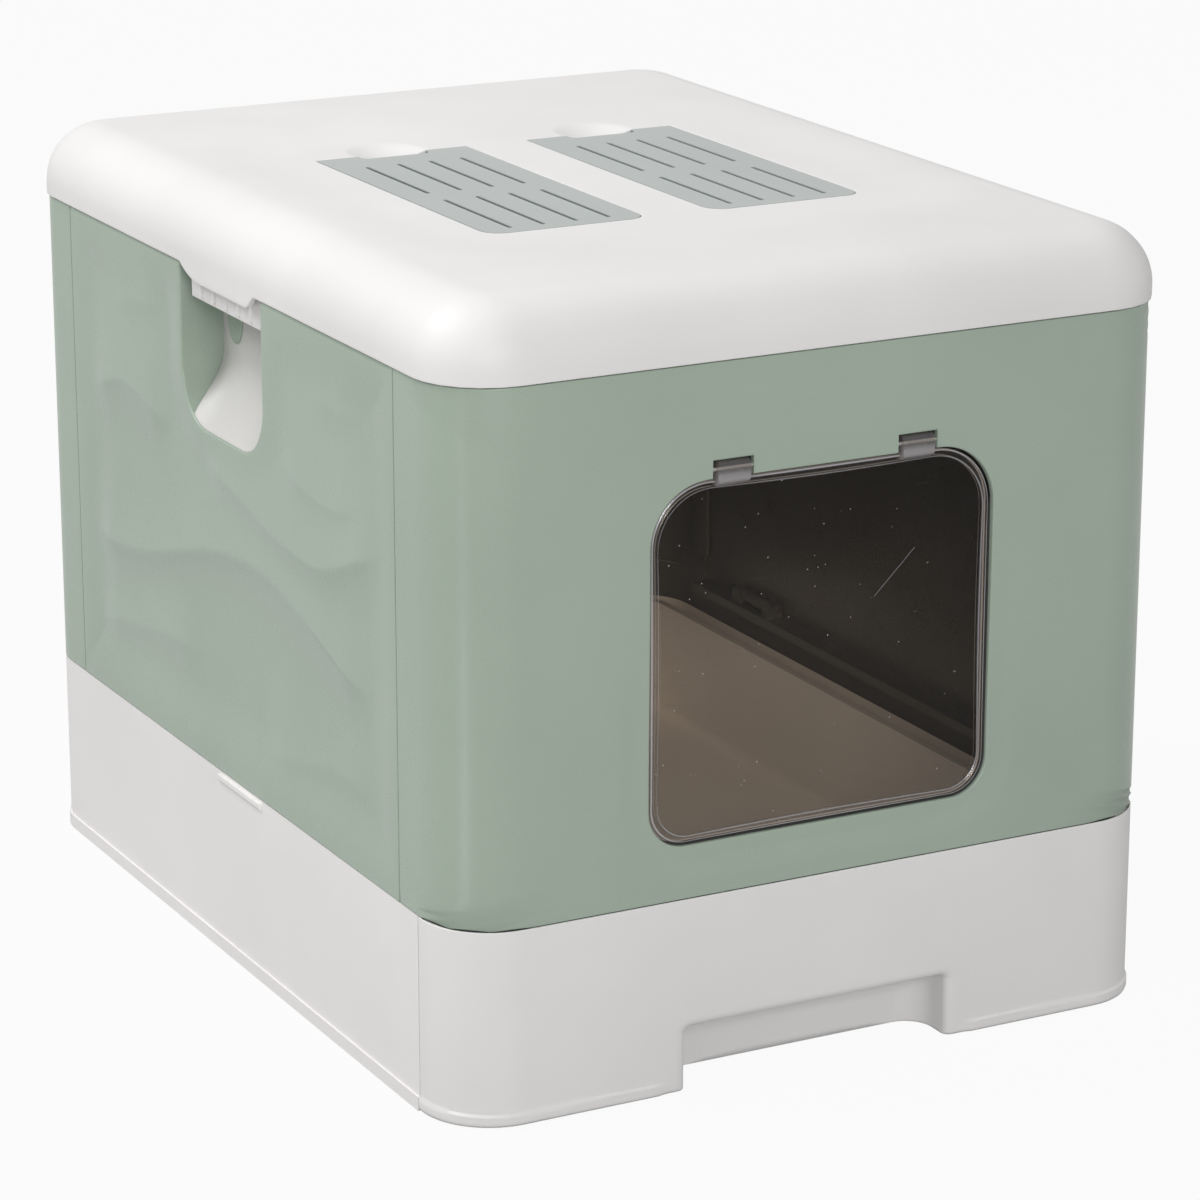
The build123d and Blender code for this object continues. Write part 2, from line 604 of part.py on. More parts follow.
def make_lid():
    """Lid: rounded shell, dish with vent openings and finger scoops, lips and tongues."""
    lid = lid_block(0, LID_BOTTOM, LID_TOP, LID_ROUND)
    lid -= lid_block(WALL, LID_BOTTOM - WALL, LID_UNDERSIDE, LID_ROUND - WALL)
    lid -= dish_cut()
    pad_foot = DISH_Z - DIMPLE_SINK - WALL
    for x in vent_places():
        half = dimple_reach() + WALL
        pad_y = (VENT_REAR_Y, VENT_REAR_Y + FINGER_DEPTH + half)
        lid += block((x - half, x + half), pad_y, (pad_foot, DISH_Z))
        lid -= prism(Pos(x, 0) * vent_plan(VENT_GAP), pad_foot - OVERCUT, LID_TOP)
        centre = Pos(x, VENT_REAR_Y + FINGER_DEPTH, DISH_Z + DIMPLE_RADIUS - DIMPLE_SINK)
        lid -= centre * Sphere(DIMPLE_RADIUS)
        reach = VENT_WIDTH / 2 + STUB_LENGTH + STUB_GAP
        lid -= rod_x(STUB_RADIUS + STUB_GAP, x - reach, x + reach, PIVOT_Y, PIVOT_Z)
    lid += lid_lips() + both_sides(left_tongue())
    return lid


def lid_lips():
    """Lips that locate the lid inside the front and rear walls."""
    half = HALF_WIDTH - LIP_END_GAP
    face = HALF_DEPTH - WALL - SEAM_GAP
    rise = LID_BOTTOM + WALL
    rear = block((-half, half), (face - LIP_WALL, face), (WALL_TOP - LIP_HEIGHT, rise + LIP_BRIDGE))
    skirt = HALF_DEPTH + LID_OVERHANG - WALL / 2
    rear += block((-half, half), (face - LIP_WALL, skirt), (rise, rise + LIP_BRIDGE))
    return rear + mirror(rear, about=Plane.XZ)


def left_tongue():
    """Outer tongue over the left handle notch and the ribbed bar behind it."""
    outer = -HALF_WIDTH - LID_OVERHANG
    rise = LID_BOTTOM + WALL
    notch = NOTCH_WIDTH / 2
    span = (LID_TONGUE_FRONT_GAP - notch, notch - LID_TONGUE_REAR_GAP)
    tongue = block((outer, outer + WALL), span, (WALL_TOP - LID_TONGUE_HEIGHT, rise))
    face = -HALF_WIDTH + BAR_SETBACK
    half = notch - BAR_SIDE_GAP
    foot = WALL_TOP - BAR_HEIGHT
    tongue += block((face, face + LIP_WALL), (-half, half), (foot, rise + LIP_BRIDGE))
    tongue += block((outer + WALL / 2, face + LIP_WALL), (-half, half), (rise, rise + LIP_BRIDGE))
    pitch = (2 * half - BAR_RIB) / (BAR_RIB_COUNT - 1)
    for index in range(BAR_RIB_COUNT):
        y = -half + index * pitch
        tongue += block((face - BAR_RIB, face), (y, y + BAR_RIB), (foot, rise + LIP_BRIDGE))
    return tongue


def make_cover(x):
    """Vent cover: slotted plate with a skirt, a finger notch and two pivot stubs."""
    plan = vent_plan(0)
    cover = prism(plan, DISH_Z - COVER_PLATE, DISH_Z)
    cover += prism(plan - vent_plan(-COVER_SKIRT), COVER_FOOT, DISH_Z)
    finger = Pos(0, VENT_REAR_Y) * Rectangle(FINGER_WIDTH, 2 * FINGER_DEPTH)
    finger = fillet(finger.vertices().group_by(Axis.Y)[0], FINGER_CORNER)
    rim = Pos(0, VENT_REAR_Y) * Rectangle(FINGER_WIDTH + 2 * COVER_SKIRT, 2 * (FINGER_DEPTH + COVER_SKIRT))
    cover += prism(rim & plan, COVER_FOOT, DISH_Z)
    cover -= prism(finger, COVER_FOOT - WALL, DISH_Z + WALL)
    slot_rows = VENT_LENGTH - SLOT_FRONT_GAP - SLOT_REAR_GAP
    slot_length = (slot_rows + SLOT_ROW_GAP) / SLOT_ROWS - SLOT_ROW_GAP
    pitch_x = (VENT_WIDTH - 2 * SLOT_SIDE_GAP) / (SLOT_COLUMNS - 1)
    pitch_y = slot_length + SLOT_ROW_GAP
    for column in range(SLOT_COLUMNS):
        for row in range(SLOT_ROWS):
            slot_x = (column - (SLOT_COLUMNS - 1) / 2) * pitch_x
            slot_y = VENT_FRONT_Y + SLOT_FRONT_GAP + slot_length / 2 + row * pitch_y
            slot = Pos(slot_x, slot_y) * SlotOverall(slot_length, SLOT_WIDTH, rotation=90)
            cover -= prism(slot, COVER_FOOT - WALL, DISH_Z + WALL)
    half = VENT_WIDTH / 2
    for side in (-1, 1):
        low, high = sorted((side * (half - STUB_LENGTH), side * (half + STUB_LENGTH)))
        cover += rod_x(STUB_RADIUS, low, high, PIVOT_Y, PIVOT_Z)
    return Pos(x, 0) * cover


def holder_inside():
    """Front and rear limits of the space for the pad, behind the cover's swinging nose."""
    return (PIVOT_Y + 2 * HOLDER_LEDGE, VENT_REAR_Y - FINGER_DEPTH - 2 * HOLDER_LEDGE)


def make_holder(x):
    """Slotted filter holder hung under the lid, which also carries the closed cover."""
    top = LID_UNDERSIDE
    half = VENT_WIDTH / 2
    lap = half + HOLDER_LAP
    flange = block((-lap, lap), (VENT_FRONT_Y - HOLDER_LAP, VENT_REAR_Y), (top - HOLDER_FLANGE, top))
    inside_x = half - HOLDER_LEDGE
    inside_y = holder_inside()
    outside_x = inside_x + HOLDER_WALL
    outside_y = (inside_y[0] - HOLDER_WALL, inside_y[1] + HOLDER_WALL)
    nose = half + VENT_GAP
    nose_y = (VENT_FRONT_Y - VENT_GAP, outside_y[0])
    holder = flange - block((-nose, nose), nose_y, (HOLDER_FOOT, top + OVERCUT))
    holder += block((-outside_x, outside_x), outside_y, (HOLDER_FOOT, top))
    holder -= block((-inside_x, inside_x), inside_y, (HOLDER_FOOT + HOLDER_WALL, top + OVERCUT))
    count = int((inside_y[1] - inside_y[0] - GRID_SLOT) // GRID_PITCH) + 1
    start = (inside_y[0] + inside_y[1] - (count - 1) * GRID_PITCH) / 2
    reach = inside_x - HOLDER_LEDGE
    grid_z = (HOLDER_FOOT - OVERCUT, HOLDER_FOOT + HOLDER_WALL + OVERCUT)
    for index in range(count):
        y = start + index * GRID_PITCH
        slot_y = (y - GRID_SLOT / 2, y + GRID_SLOT / 2)
        holder -= block((-reach, reach), slot_y, grid_z)
    return Pos(x, 0) * holder


def make_pad(x):
    """Deodorising pad that lies in the holder."""
    half = VENT_WIDTH / 2 - HOLDER_LEDGE - REST_GAP
    front, rear = holder_inside()
    span = (front + REST_GAP, rear - REST_GAP)
    return Pos(x, 0) * block((-half, half), span, (PAD_FOOT, PAD_FOOT + PAD_THICKNESS))


def make_parts():
    """All pieces by node name."""
    left, right = vent_places()
    left_panel = make_left_panel()
    left_cup = make_left_cup()
    left_pins = make_left_pins()
    return {
        "base_shell": make_base(),
        "drawer_front": make_drawer_front(),
        "litter_tray": make_tray(),
        "front_panel": make_front_panel(),
        "rear_panel": make_rear_panel(),
        "left_side_panel": left_panel,
        "right_side_panel": mirror(left_panel, about=Plane.YZ),
        "left_handle_cup": left_cup,
        "right_handle_cup": mirror(left_cup, about=Plane.YZ),
        "left_wall_pins": left_pins,
        "right_wall_pins": mirror(left_pins, about=Plane.YZ),
        "door_flap": make_flap(),
        "door_hinge_pins": make_door_pins(),
        "lid_shell": make_lid(),
        "left_vent_cover": make_cover(left),
        "right_vent_cover": make_cover(right),
        "left_filter_holder": make_holder(left),
        "right_filter_holder": make_holder(right),
        "left_filter_pad": make_pad(left),
        "right_filter_pad": make_pad(right),
    }


os.makedirs("parts", exist_ok=True)
for name, part in make_parts().items():
    export_step(part, f"parts/{name}.step")
    print(f"{name}: {len(part.solids())} solids, {part.volume / 1000:.1f} cm3")
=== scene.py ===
import math

import bmesh
import bpy
import numpy as np
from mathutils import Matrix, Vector


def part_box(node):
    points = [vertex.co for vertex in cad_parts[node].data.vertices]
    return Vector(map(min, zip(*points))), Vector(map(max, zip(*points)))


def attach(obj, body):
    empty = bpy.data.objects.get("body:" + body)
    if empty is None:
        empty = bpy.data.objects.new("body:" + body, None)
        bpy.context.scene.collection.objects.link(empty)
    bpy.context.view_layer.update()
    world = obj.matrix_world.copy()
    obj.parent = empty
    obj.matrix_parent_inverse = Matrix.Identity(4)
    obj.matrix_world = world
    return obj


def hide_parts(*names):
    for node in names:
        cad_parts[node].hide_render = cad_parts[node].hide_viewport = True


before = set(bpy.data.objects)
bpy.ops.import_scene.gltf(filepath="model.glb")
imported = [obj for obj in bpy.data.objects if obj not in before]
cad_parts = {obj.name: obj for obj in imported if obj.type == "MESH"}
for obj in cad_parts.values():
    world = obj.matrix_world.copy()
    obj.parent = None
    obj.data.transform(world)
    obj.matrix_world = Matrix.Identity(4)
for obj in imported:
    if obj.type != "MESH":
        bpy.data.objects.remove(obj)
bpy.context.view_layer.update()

# A closed litter box: a white base with a pull-out drawer, green walls, a smoke flap, and a white lid with
# two vents. Lengths are in millimetres, in the frame of the CAD nodes: x to the right, y to the rear, z up.
MM = 0.001


def node_box(node):
    """Lowest and highest corner of a CAD node in millimetres."""
    low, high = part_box(node)
    return np.array(low) / MM, np.array(high) / MM


WALL_LOW, WALL_HIGH = node_box("left_side_panel")
FRONT_LOW, FRONT_HIGH = node_box("front_panel")
LID_TOP_X, LID_TOP_Y, LID_TOP = node_box("lid_shell")[1]
FASCIA_FOOT, FASCIA_HEAD = (corner[2] for corner in node_box("drawer_front"))
VENT_FOOT, VENT_HEAD = (corner[2] for corner in node_box("right_vent_cover"))
TRAY_LOW, TRAY_HIGH = node_box("litter_tray")

# Walls: bead that the CAD's box holds at their foot, outline, returns, seams, sheet and edge rounds
BEAD = 0.6
BEAD_HEIGHT = 5.0
HALF_WIDTH = -WALL_LOW[0] - BEAD
HALF_DEPTH = -FRONT_LOW[1] - BEAD
CORNER = 35.0
RETURN = 22.5
SEAM = 0.6
WALL = 3.0
EDGE = 0.5
WALL_FOOT = WALL_LOW[2]
SIDE_HEAD = WALL_HIGH[2]
FRONT_HEAD = FRONT_HIGH[2]
SIDE_END = HALF_DEPTH - CORNER - RETURN - SEAM
FLAT = HALF_WIDTH - CORNER
BEND = CORNER * math.pi / 2
WRAP_END = FLAT + BEND + RETURN

# Plates behind the foot of the front and rear walls
PLATE = 2.5
PLATE_INSET = 20.0
PLATE_RISE = 12.0

# Side walls: tongues behind the returns, and hinge knuckles with their arms
TONGUE_X = -HALF_WIDTH + WALL + 0.3
TONGUE = 2.5
TONGUE_ROOT = 6.0
TONGUE_INSET = 14.0
HINGE_X = -184.3
HINGE_Z = 101.0
KNUCKLE_AT = 130.0
KNUCKLE_HALF = 12.0
KNUCKLE_RADIUS = 3.8
ARM_X = -189.5
ARM_LOW = 98.5
ARM_HIGH = 104.4

# Handle notch, its collar, the scoop behind it and the catch on the scoop
NOTCH_HALF = 49.5
NOTCH_FOOT = 271.0
NOTCH_ROUND = 28.0
NOTCH_EDGE = 1.0
COLLAR = 2.5
COLLAR_LAP = 0.9
COLLAR_SIDE = 53.5
COLLAR_FOOT = 267.5
SCOOP_DEPTH = 23.0
SCOOP_BEND = 303.0
SCOOP_CURVE = 1.75
SCOOP_WALL = 2.5
SCOOP_GAP = 0.05
SCOOP_LIFT = 0.1
SCOOP_LEAST = 0.2
SCOOP_EDGE = 0.8
SCOOP_HEAD = SIDE_HEAD - 0.4
SCOOP_FOOT = NOTCH_FOOT - 2.2
SCOOP_RISE = 5.0
CATCH_AT = 33.6
CATCH_HALF = 8.8
CATCH_LOW = 310.0
CATCH_TIP = 14.0
CATCH_HEAD = SIDE_HEAD - 4.0

# Door: opening, rooms for the clips, jamb, and the shallow dish round the opening's lower part
DOOR_HALF = 91.0
DOOR_FOOT = 122.5
DOOR_HEAD = 296.5
DOOR_MIDDLE = (DOOR_FOOT + DOOR_HEAD) / 2
DOOR_TOP_ROUND = 30.0
DOOR_FOOT_ROUND = 19.0
CLIP_AT = 48.8
CLIP_ROOM = 21.0
CLIP_HEAD = 305.1
JAMB_DEPTH = 9.0
JAMB_HEAD = WALL + 0.4
JAMB_EDGE = 0.9
JAMB_FADE = (258.0, 268.0)
DOOR_DISH = 1.1
DOOR_DISH_FADE = (150.0, 250.0)
DOOR_BORDER = (6.0, 18.0)

# Flap: middle plane, half thickness, bead with the painted highlight lines beside it, pins, and clips with
# their painted highlight
FLAP_Y = -251.2
FLAP_HALF = 1.2
FLAP_GAP = 1.0
FLAP_BEAD = 1.0
FLAP_BEAD_AT = 2.8
FLAP_BEAD_WIDTH = 4.2
HIGHLIGHT_OUTER = (0.9, 1.8)
HIGHLIGHT_INNER = (4.2, 1.5)
PIN_Y = -253.0
PIN_Z = 300.6
HOOK_RADIUS = 4.2
CLIP_WIDTH = 17.0
CLIP_HIGHLIGHT_FADE = (297.5, 301.5)

# Lid: rounded edge, shallow dish, vent openings, thumb dimples and tongues by the notches
LID_ROUND = 31.0
LID_CORNER = 5.4
LID_WALL = 3.0
LID_FOOT = 351.6
LID_UNDER = LID_TOP - 6.0
LID_LEAST = 2.4
DISH = 2.0
DISH_HALF = 118.5
DISH_FRONT = -131.0
DISH_REAR = 119.4
DISH_ROUND = 20.0
DISH_SLOPE = 42.0
VENT_AT = 59.5
VENT_HALF = 42.5
VENT_FRONT = -114.5
VENT_REAR = 83.5
VENT_ROUND = 10.5
VENT_REAR_ROUND = 1.0
VENT_EDGE = 0.6
DIMPLE = 5.0
DIMPLE_BACK = 6.5
DIMPLE_RADIUS = 20.5
LID_TONGUE = 7.0
LID_TONGUE_REAR = 46.0
LID_BEVEL = (-45.6, -34.6)
LID_FLARE = 25.0

# Lips under the lid's right and rear side that hold it on the walls, and ribs behind the handle notch, each
# by two corners and an edge round
LID_LIPS = [((187.0, at - 1.0, 336.0), (189.0, at + 1.0, 356.0), 0.5) for at in (-30, -15, 0, 15, 30)]
LID_LIPS += [
    ((185.0, -44.0, 334.0), (187.5, 44.0, 357.3), 0.7),
    ((-120.0, 249.1, 340.0), (120.0, 251.6, 357.3), 0.6),
]

# Drawer front: pull recess, foot flange, and the webs behind it by their x and foot
PULL_HALF = 71.5
PULL_HEIGHT = 32.0
PULL_DEPTH = 27.0
PULL_ROUND = 3.0
PULL_LIP = 4.0
PULL_SIDE = 14.0
PULL_HEAD = 5.0
PULL_INNER = 6.0
FASCIA_RETURN = 3.0
FASCIA_WALL = 2.6
FLANGE = 7.0
FLANGE_STEP = 0.8
FLANGE_PROUD = 1.0
FLANGE_START = (82.0, 86.0)
WEBS = ((-123, FLANGE), (-41, PULL_HEIGHT + 3.5), (41, PULL_HEIGHT + 3.5), (123, FLANGE))
WEB_HALF = 1.5
WEB_HEAD = 62.0

# Dune relief of the side walls: each crest line is a stretch of a cosine in y. Columns: y of its turning
# point, middle height, rise there (a dip is negative), half wave to the front and to the rear, first and
# last y, strength.
DUNES = [
    (128, 268.0, 5.0, 62, 48, 62, 186, 0.80),
    (-35, 200.0, 17.0, 165, 190, -172, 182, 1.00),
    (-105, 246.0, -11.0, 84, 150, -186, 34, 1.00),
    (-120, 273.0, -5.0, 70, 74, -172, -56, 0.65),
    (-130, 318.5, -2.5, 60, 60, -170, -86, 0.40),
    (60, 144.5, 6.5, 100, 115, 30, 182, 0.55),
    (80, 317.0, 4.0, 70, 70, 68, 160, 0.40),
    (-140, 131.5, 7.5, 100, 100, -180, -34, 0.45),
]
DUNE_HEIGHT = 4.7
DUNE_SINK = 2.7
DUNE_BACK = 1.0
DUNE_JOIN = 3.0
DUNE_SLOPE = 30.0
DUNE_STEEP = 16.0
DUNE_CREST = 0.4
DUNE_ENDS = 34.0
DUNE_BORDER = (1.0, 34.0)
NOTCH_BORDER = (1.0, 24.0)


def fade(value, start, end):
    """Smooth step t²(3 - 2t), where t goes from 0 at start to 1 at end."""
    t = np.clip((value - start) / (end - start), 0.0, 1.0)
    return t * t * (3.0 - 2.0 * t)


def edge_drop(distance, radius):
    """How far a rounded edge lies back at a distance from it: r - sqrt(r² - (r - d)²)."""
    gap = np.clip(radius - distance, 0.0, radius)
    return radius - np.sqrt(radius ** 2 - gap ** 2)


def hump(distance, width):
    """Raised cosine of height 1: (1 + cos(2 pi d / width)) / 2 within half a width, 0 outside it."""
    return np.where(np.abs(distance) < width / 2, 0.5 + 0.5 * np.cos(2 * np.pi * distance / width), 0.0)


def round_box(x, y, half_x, half_y, radius):
    """Signed distance to a rounded rectangle about the origin, negative inside it."""
    over_x = np.abs(x) - half_x + radius
    over_y = np.abs(y) - half_y + radius
    outside = np.hypot(np.maximum(over_x, 0), np.maximum(over_y, 0))
    return outside + np.minimum(np.maximum(over_x, over_y), 0) - radius


def rim_gap(a, z, end, low, high):
    """Distance to the nearest edge of a panel that goes from -end to end and from low to high."""
    return np.minimum(end - np.abs(a), np.minimum(z - low, high - z))


def line(start, end, count):
    """count points from start towards end, without end itself: start + (end - start) i / count."""
    share = np.arange(count)[:, None] / count
    start = np.asarray(start, float)
    return start + share * (np.asarray(end, float) - start)


def arc(centre, radius, start, end, count):
    """count points on a circle from the angle start towards end in degrees, without the last one."""
    angle = np.radians(start + (end - start) * np.arange(count) / count)
    return np.asarray(centre, float) + radius * np.stack([np.cos(angle), np.sin(angle)], -1)


def lines(stops, counts):
    """Points on straight lines from stop to stop, without the last stop, with a count for each line."""
    return np.vstack([line(*way) for way in zip(stops, stops[1:], counts)])


def arcs(centre, radius, angles, counts):
    """Points on a circle from angle to angle, without the last one, with a count for each arc."""
    return np.vstack([arc(centre, radius, *way) for way in zip(angles, angles[1:], counts)])


def opposite(stops):
    """The mirror image of stops, in the other order."""
    return [(-x, z) for x, z in stops[::-1]]


# Close steps by a rounded edge, used at both ends of a ray
EDGE_STEPS = np.array([0.0, 0.06, 0.2, 0.45, 0.8, 1.5, 2.8])


def across(inner, outer, count, ease=1.0):
    """Points on the straight lines from inner to outer: close steps by both ends, count between them."""
    way = outer - inner
    span = np.linalg.norm(way, axis=1)[:, None]
    reach = EDGE_STEPS[-1]
    middle = reach + (span - 2 * reach) * (np.arange(1, count + 1) / (count + 1)) ** ease
    near = np.broadcast_to(EDGE_STEPS, (len(span), len(EDGE_STEPS)))
    along = np.hstack([near, middle, span - near[:, ::-1]])
    return inner[:, None] + way[:, None] * (along / span)[..., None]


def stack(*parts):
    """Points from arrays of x, y and z that are spread to one shape."""
    return np.stack(np.broadcast_arrays(*parts), -1).astype(float)


def wrap(spot, out):
    """Wall coordinates (a, z) to space: a is the length along the plan from the middle of the front, out the
    way outwards. x = s (min(|a|, f) + (R + out) sin t), y = -(h - R) - (R + out) cos t + e, with
    t = (|a| - f) / R on the corner and e the length past it."""
    a, z = spot[..., 0], spot[..., 1]
    size = np.abs(a)
    turn = np.clip((size - FLAT) / CORNER, 0.0, np.pi / 2)
    past = np.maximum(size - FLAT - BEND, 0.0)
    x = np.sign(a) * (np.minimum(size, FLAT) + (CORNER + out) * np.sin(turn))
    y = -(HALF_DEPTH - CORNER) - (CORNER + out) * np.cos(turn) + past
    return stack(x, y, z)


class Mould:
    """The grids of one piece, gathered as arrays and put into one mesh."""

    def __init__(self):
        self.points = []
        self.faces = []
        self.painted_highlights = []
        self.count = 0

    def grid(self, points, round_rows=False, round_columns=False, capped=False, rim=0.0):
        """Adds a grid of points (rows, columns, 3), with a quad between each four neighbours and a rim value
        for each point, the share of a painted highlight. A capped one has a face across its first and its
        last row."""
        rows, columns = points.shape[:2]
        number = self.count + np.arange(rows * columns).reshape(rows, columns)
        ring = np.vstack([number, number[:1]]) if round_rows else number
        ring = np.hstack([ring, ring[:, :1]]) if round_columns else ring
        quads = np.stack([ring[:-1, :-1], ring[1:, :-1], ring[1:, 1:], ring[:-1, 1:]], -1)
        self.points.append(points.reshape(-1, 3))
        self.painted_highlights.append(np.broadcast_to(rim, points.shape[:2]).reshape(-1))
        self.faces.extend(quads.reshape(-1, 4).tolist())
        if capped:
            self.faces.extend(number[[0, -1]].tolist())
        self.count += rows * columns
        return self

    def bar(self, first, second, radius):
        """A bar between two corners: a rounded rectangle in x and z along y, drawn in at both ends."""
        middle, half = np.add(first, second) / 2, np.abs(np.subtract(second, first)) / 2
        quarters = np.array([0, 90, 180, 270])
        turn = np.radians(quarters[:, None] + np.linspace(0, 90, 5)).reshape(-1)
        corner = np.radians(np.repeat(quarters + 45, 5))
        side = np.sign(np.stack([np.cos(corner), np.sin(corner)], -1))
        ring = side * (half[[0, 2]] - radius) + radius * np.stack([np.cos(turn), np.sin(turn)], -1)
        step = np.array([0.0, 0.3, 0.7, 1.0])
        inset = radius * np.concatenate([1 - step, step]) ** 2
        along = np.concatenate([-half[1] + radius * step, half[1] - radius * step[::-1]])
        ring = ring * (1 - inset[:, None, None] / half[[0, 2]])
        points = stack(ring[..., 0] + middle[0], along[:, None] + middle[1], ring[..., 1] + middle[2])
        self.grid(points, round_columns=True, capped=True)

    def rod(self, x, z, low, high, radius):
        """A round rod along y from low to high: a circle that is drawn in by a small round at both ends."""
        angle = np.arange(24) * np.pi / 12
        step = np.array([0.0, 0.3, 0.8])
        size = (radius - np.array([0.8, 0.2, 0.0, 0.0, 0.2, 0.8]))[:, None]
        along = np.concatenate([low + step, high - step[::-1]])[:, None]
        points = stack(x + size * np.cos(angle), along, z + size * np.sin(angle))
        self.grid(points, round_columns=True, capped=True)

    def add(self, other, turn=(1, 1, 1)):
        """Takes in another mould's grids, mirrored where turn is -1."""
        self.points.extend(part * np.array(turn, float) for part in other.points)
        self.painted_highlights.extend(other.painted_highlights)
        self.faces.extend([number + self.count for number in face] for face in other.faces)
        self.count += other.count
        return self

    def mirrored(self):
        """A copy for the other side of the box."""
        return Mould().add(self, (-1, 1, 1))

    def mesh(self, name):
        """One mesh in metres: seams merged, faces turned outwards, edges shaded by angle."""
        mesh = bpy.data.meshes.new(name)
        mesh.from_pydata((np.vstack(self.points) * MM).tolist(), [], self.faces)
        painted_highlights = np.concatenate(self.painted_highlights).astype(np.float32)
        # The rim values are painted highlights on the flap and its clips
        if painted_highlights.any():
            mesh.attributes.new("rim", "FLOAT", "POINT").data.foreach_set("value", painted_highlights)
        shape = bmesh.new()
        shape.from_mesh(mesh)
        bmesh.ops.remove_doubles(shape, verts=shape.verts, dist=1e-5)
        bmesh.ops.dissolve_degenerate(shape, edges=shape.edges, dist=1e-7)
        bmesh.ops.recalc_face_normals(shape, faces=shape.faces)
        shape.to_mesh(mesh)
        shape.free()
        mesh.polygons.foreach_set("use_smooth", np.ones(len(mesh.polygons), bool))
        mesh.set_sharp_from_angle(angle=math.radians(38))
        return mesh


class Signal:
    """A node's output that is worked with like a number: each operator adds one Math node."""

    def __init__(self, graph, socket):
        self.graph = graph
        self.socket = socket

    def math(self, operation, *terms):
        return self.graph.node("ShaderNodeMath", {"operation": operation}, dict(enumerate(terms)))

    def __add__(self, other):
        return self.math("ADD", self, other)

    def __sub__(self, other):
        return self.math("SUBTRACT", self, other)

    def __rsub__(self, other):
        return self.math("SUBTRACT", other, self)

    def __mul__(self, other):
        return self.math("MULTIPLY", self, other)

    def __gt__(self, other):
        return self.math("GREATER_THAN", self, other)

    def __lt__(self, other):
        return self.math("LESS_THAN", self, other)

    __radd__ = __add__
    __rmul__ = __mul__

    def larger(self, other):
        return self.math("MAXIMUM", self, other)

    def size(self):
        return self.math("ABSOLUTE", self)

    def span(self, low, high):
        """0 at low and 1 at high, held at both ends."""
        return self.graph.node("ShaderNodeMapRange", {"clamp": True}, {0: self, 1: low, 2: high})


class Graph:
    """A tree of nodes."""

    def __init__(self, tree):
        self.tree = tree

    def node(self, kind, settings=None, inputs=None, output=0):
        """Adds a node of a kind, with its settings first and then the values or links of its sockets."""
        made = self.tree.nodes.new(kind)
        for key, value in (settings or {}).items():
            setattr(made, key, value)
        for key, value in (inputs or {}).items():
            if isinstance(value, Signal):
                self.tree.links.new(value.socket, made.inputs[key])
            else:
                made.inputs[key].default_value = value
        return Signal(self, made.outputs[output]) if len(made.outputs) else None


class Finish(Graph):
    """The nodes of a material or of the world."""

    def __init__(self, owner):
        self.owner = owner
        owner.use_nodes = True
        owner.node_tree.nodes.clear()
        super().__init__(owner.node_tree)

    def place(self, scale=(1, 1, 1), turn=(0, 0, 0)):
        """Object coordinates, turned and stretched."""
        spot = self.node("ShaderNodeTexCoord", None, None, "Object")
        return self.node("ShaderNodeMapping", None, {"Vector": spot, "Scale": scale, "Rotation": turn})

    def axes(self, place):
        """The three numbers of a place."""
        return [self.node("ShaderNodeSeparateXYZ", None, {0: place}, axis) for axis in "XYZ"]

    def noise(self, place, scale, detail=2.0):
        return self.node("ShaderNodeTexNoise", None, {"Vector": place, "Scale": scale, "Detail": detail})

    def cells(self, place, scale):
        """Distance to the nearest of scattered points."""
        inputs = {"Vector": place, "Scale": scale}
        return self.node("ShaderNodeTexVoronoi", {"feature": "F1"}, inputs, "Distance")

    def mix(self, first, second, share):
        return self.node("ShaderNodeMix", {"data_type": "RGBA"}, {0: share, 6: first, 7: second}, 2)

    def bump(self, height, strength, distance):
        inputs = {"Height": height, "Strength": strength, "Distance": distance}
        return self.node("ShaderNodeBump", None, inputs)

    def plain(self, **inputs):
        """A Principled shader; an underscore in a name stands for a space."""
        named = {key.replace("_", " "): value for key, value in inputs.items()}
        return self.node("ShaderNodeBsdfPrincipled", None, named)

    def looked_at(self):
        """1 for what the camera sees, straight or through a clear sheet, less for a gloss, 0 for light."""
        kinds = ("Is Camera Ray", "Is Transmission Ray", "Is Glossy Ray")
        seen, passed, glossy = [self.node("ShaderNodeLightPath", None, None, kind) for kind in kinds]
        return seen.larger(passed).larger(glossy * 0.6)

    def shown(self, shader):
        self.node("ShaderNodeOutputMaterial", None, {"Surface": shader})
        return self.owner


def new_finish(name):
    return Finish(bpy.data.materials.new(name))


def tone(colour, gain=1.0):
    return (*(part * gain for part in colour), 1.0)


def grey(value):
    return tone((value, value, value))


def moulded_plastic(name, colour, second=None, where=None, roughness=0.50, grain=0.00050, depth=0.00006):
    """Moulded plastic: a fine even grain in the gloss and the bump, faint clouding in the colour, and rubbed
    patches. Where the share from where() of x, y and z is 1, it has the second colour: a painted shade."""
    finish = new_finish(name)
    place = finish.place()
    grains = finish.noise(place, 1.0 / grain)
    cloud = finish.noise(place, 9.0, 3.0)
    rubbed = finish.noise(place, 38.0, 4.0)
    shade = finish.mix(tone(colour, 0.965), tone(colour, 1.025), cloud.span(0.3, 0.7))
    if where:
        shade = finish.mix(shade, tone(second), where(*finish.axes(place)))
    rough = roughness + (rubbed - 0.5) * 0.04 + (grains - 0.5) * 0.10
    bump = finish.bump(grains, 0.25, depth)
    return finish.shown(finish.plain(Base_Color=shade, Roughness=rough, Normal=bump))


# The flap's clear body, its solid tones, the pale one for marks and painted highlights alike, and its one
# long
# scratch in metres and radians: middle, slant, half length and half width
SMOKE_CLEAR = (0.965, 0.900, 0.825)
SMOKE_DARK = (0.045, 0.045, 0.047)
SMOKE_MARKS_AND_HIGHLIGHT = (0.58, 0.56, 0.58)
SCRATCH_AT = (-0.039, 0.0, -0.239)
SCRATCH_TURN = -0.80
SCRATCH_REACH = 0.015
SCRATCH_HALF = 0.00026


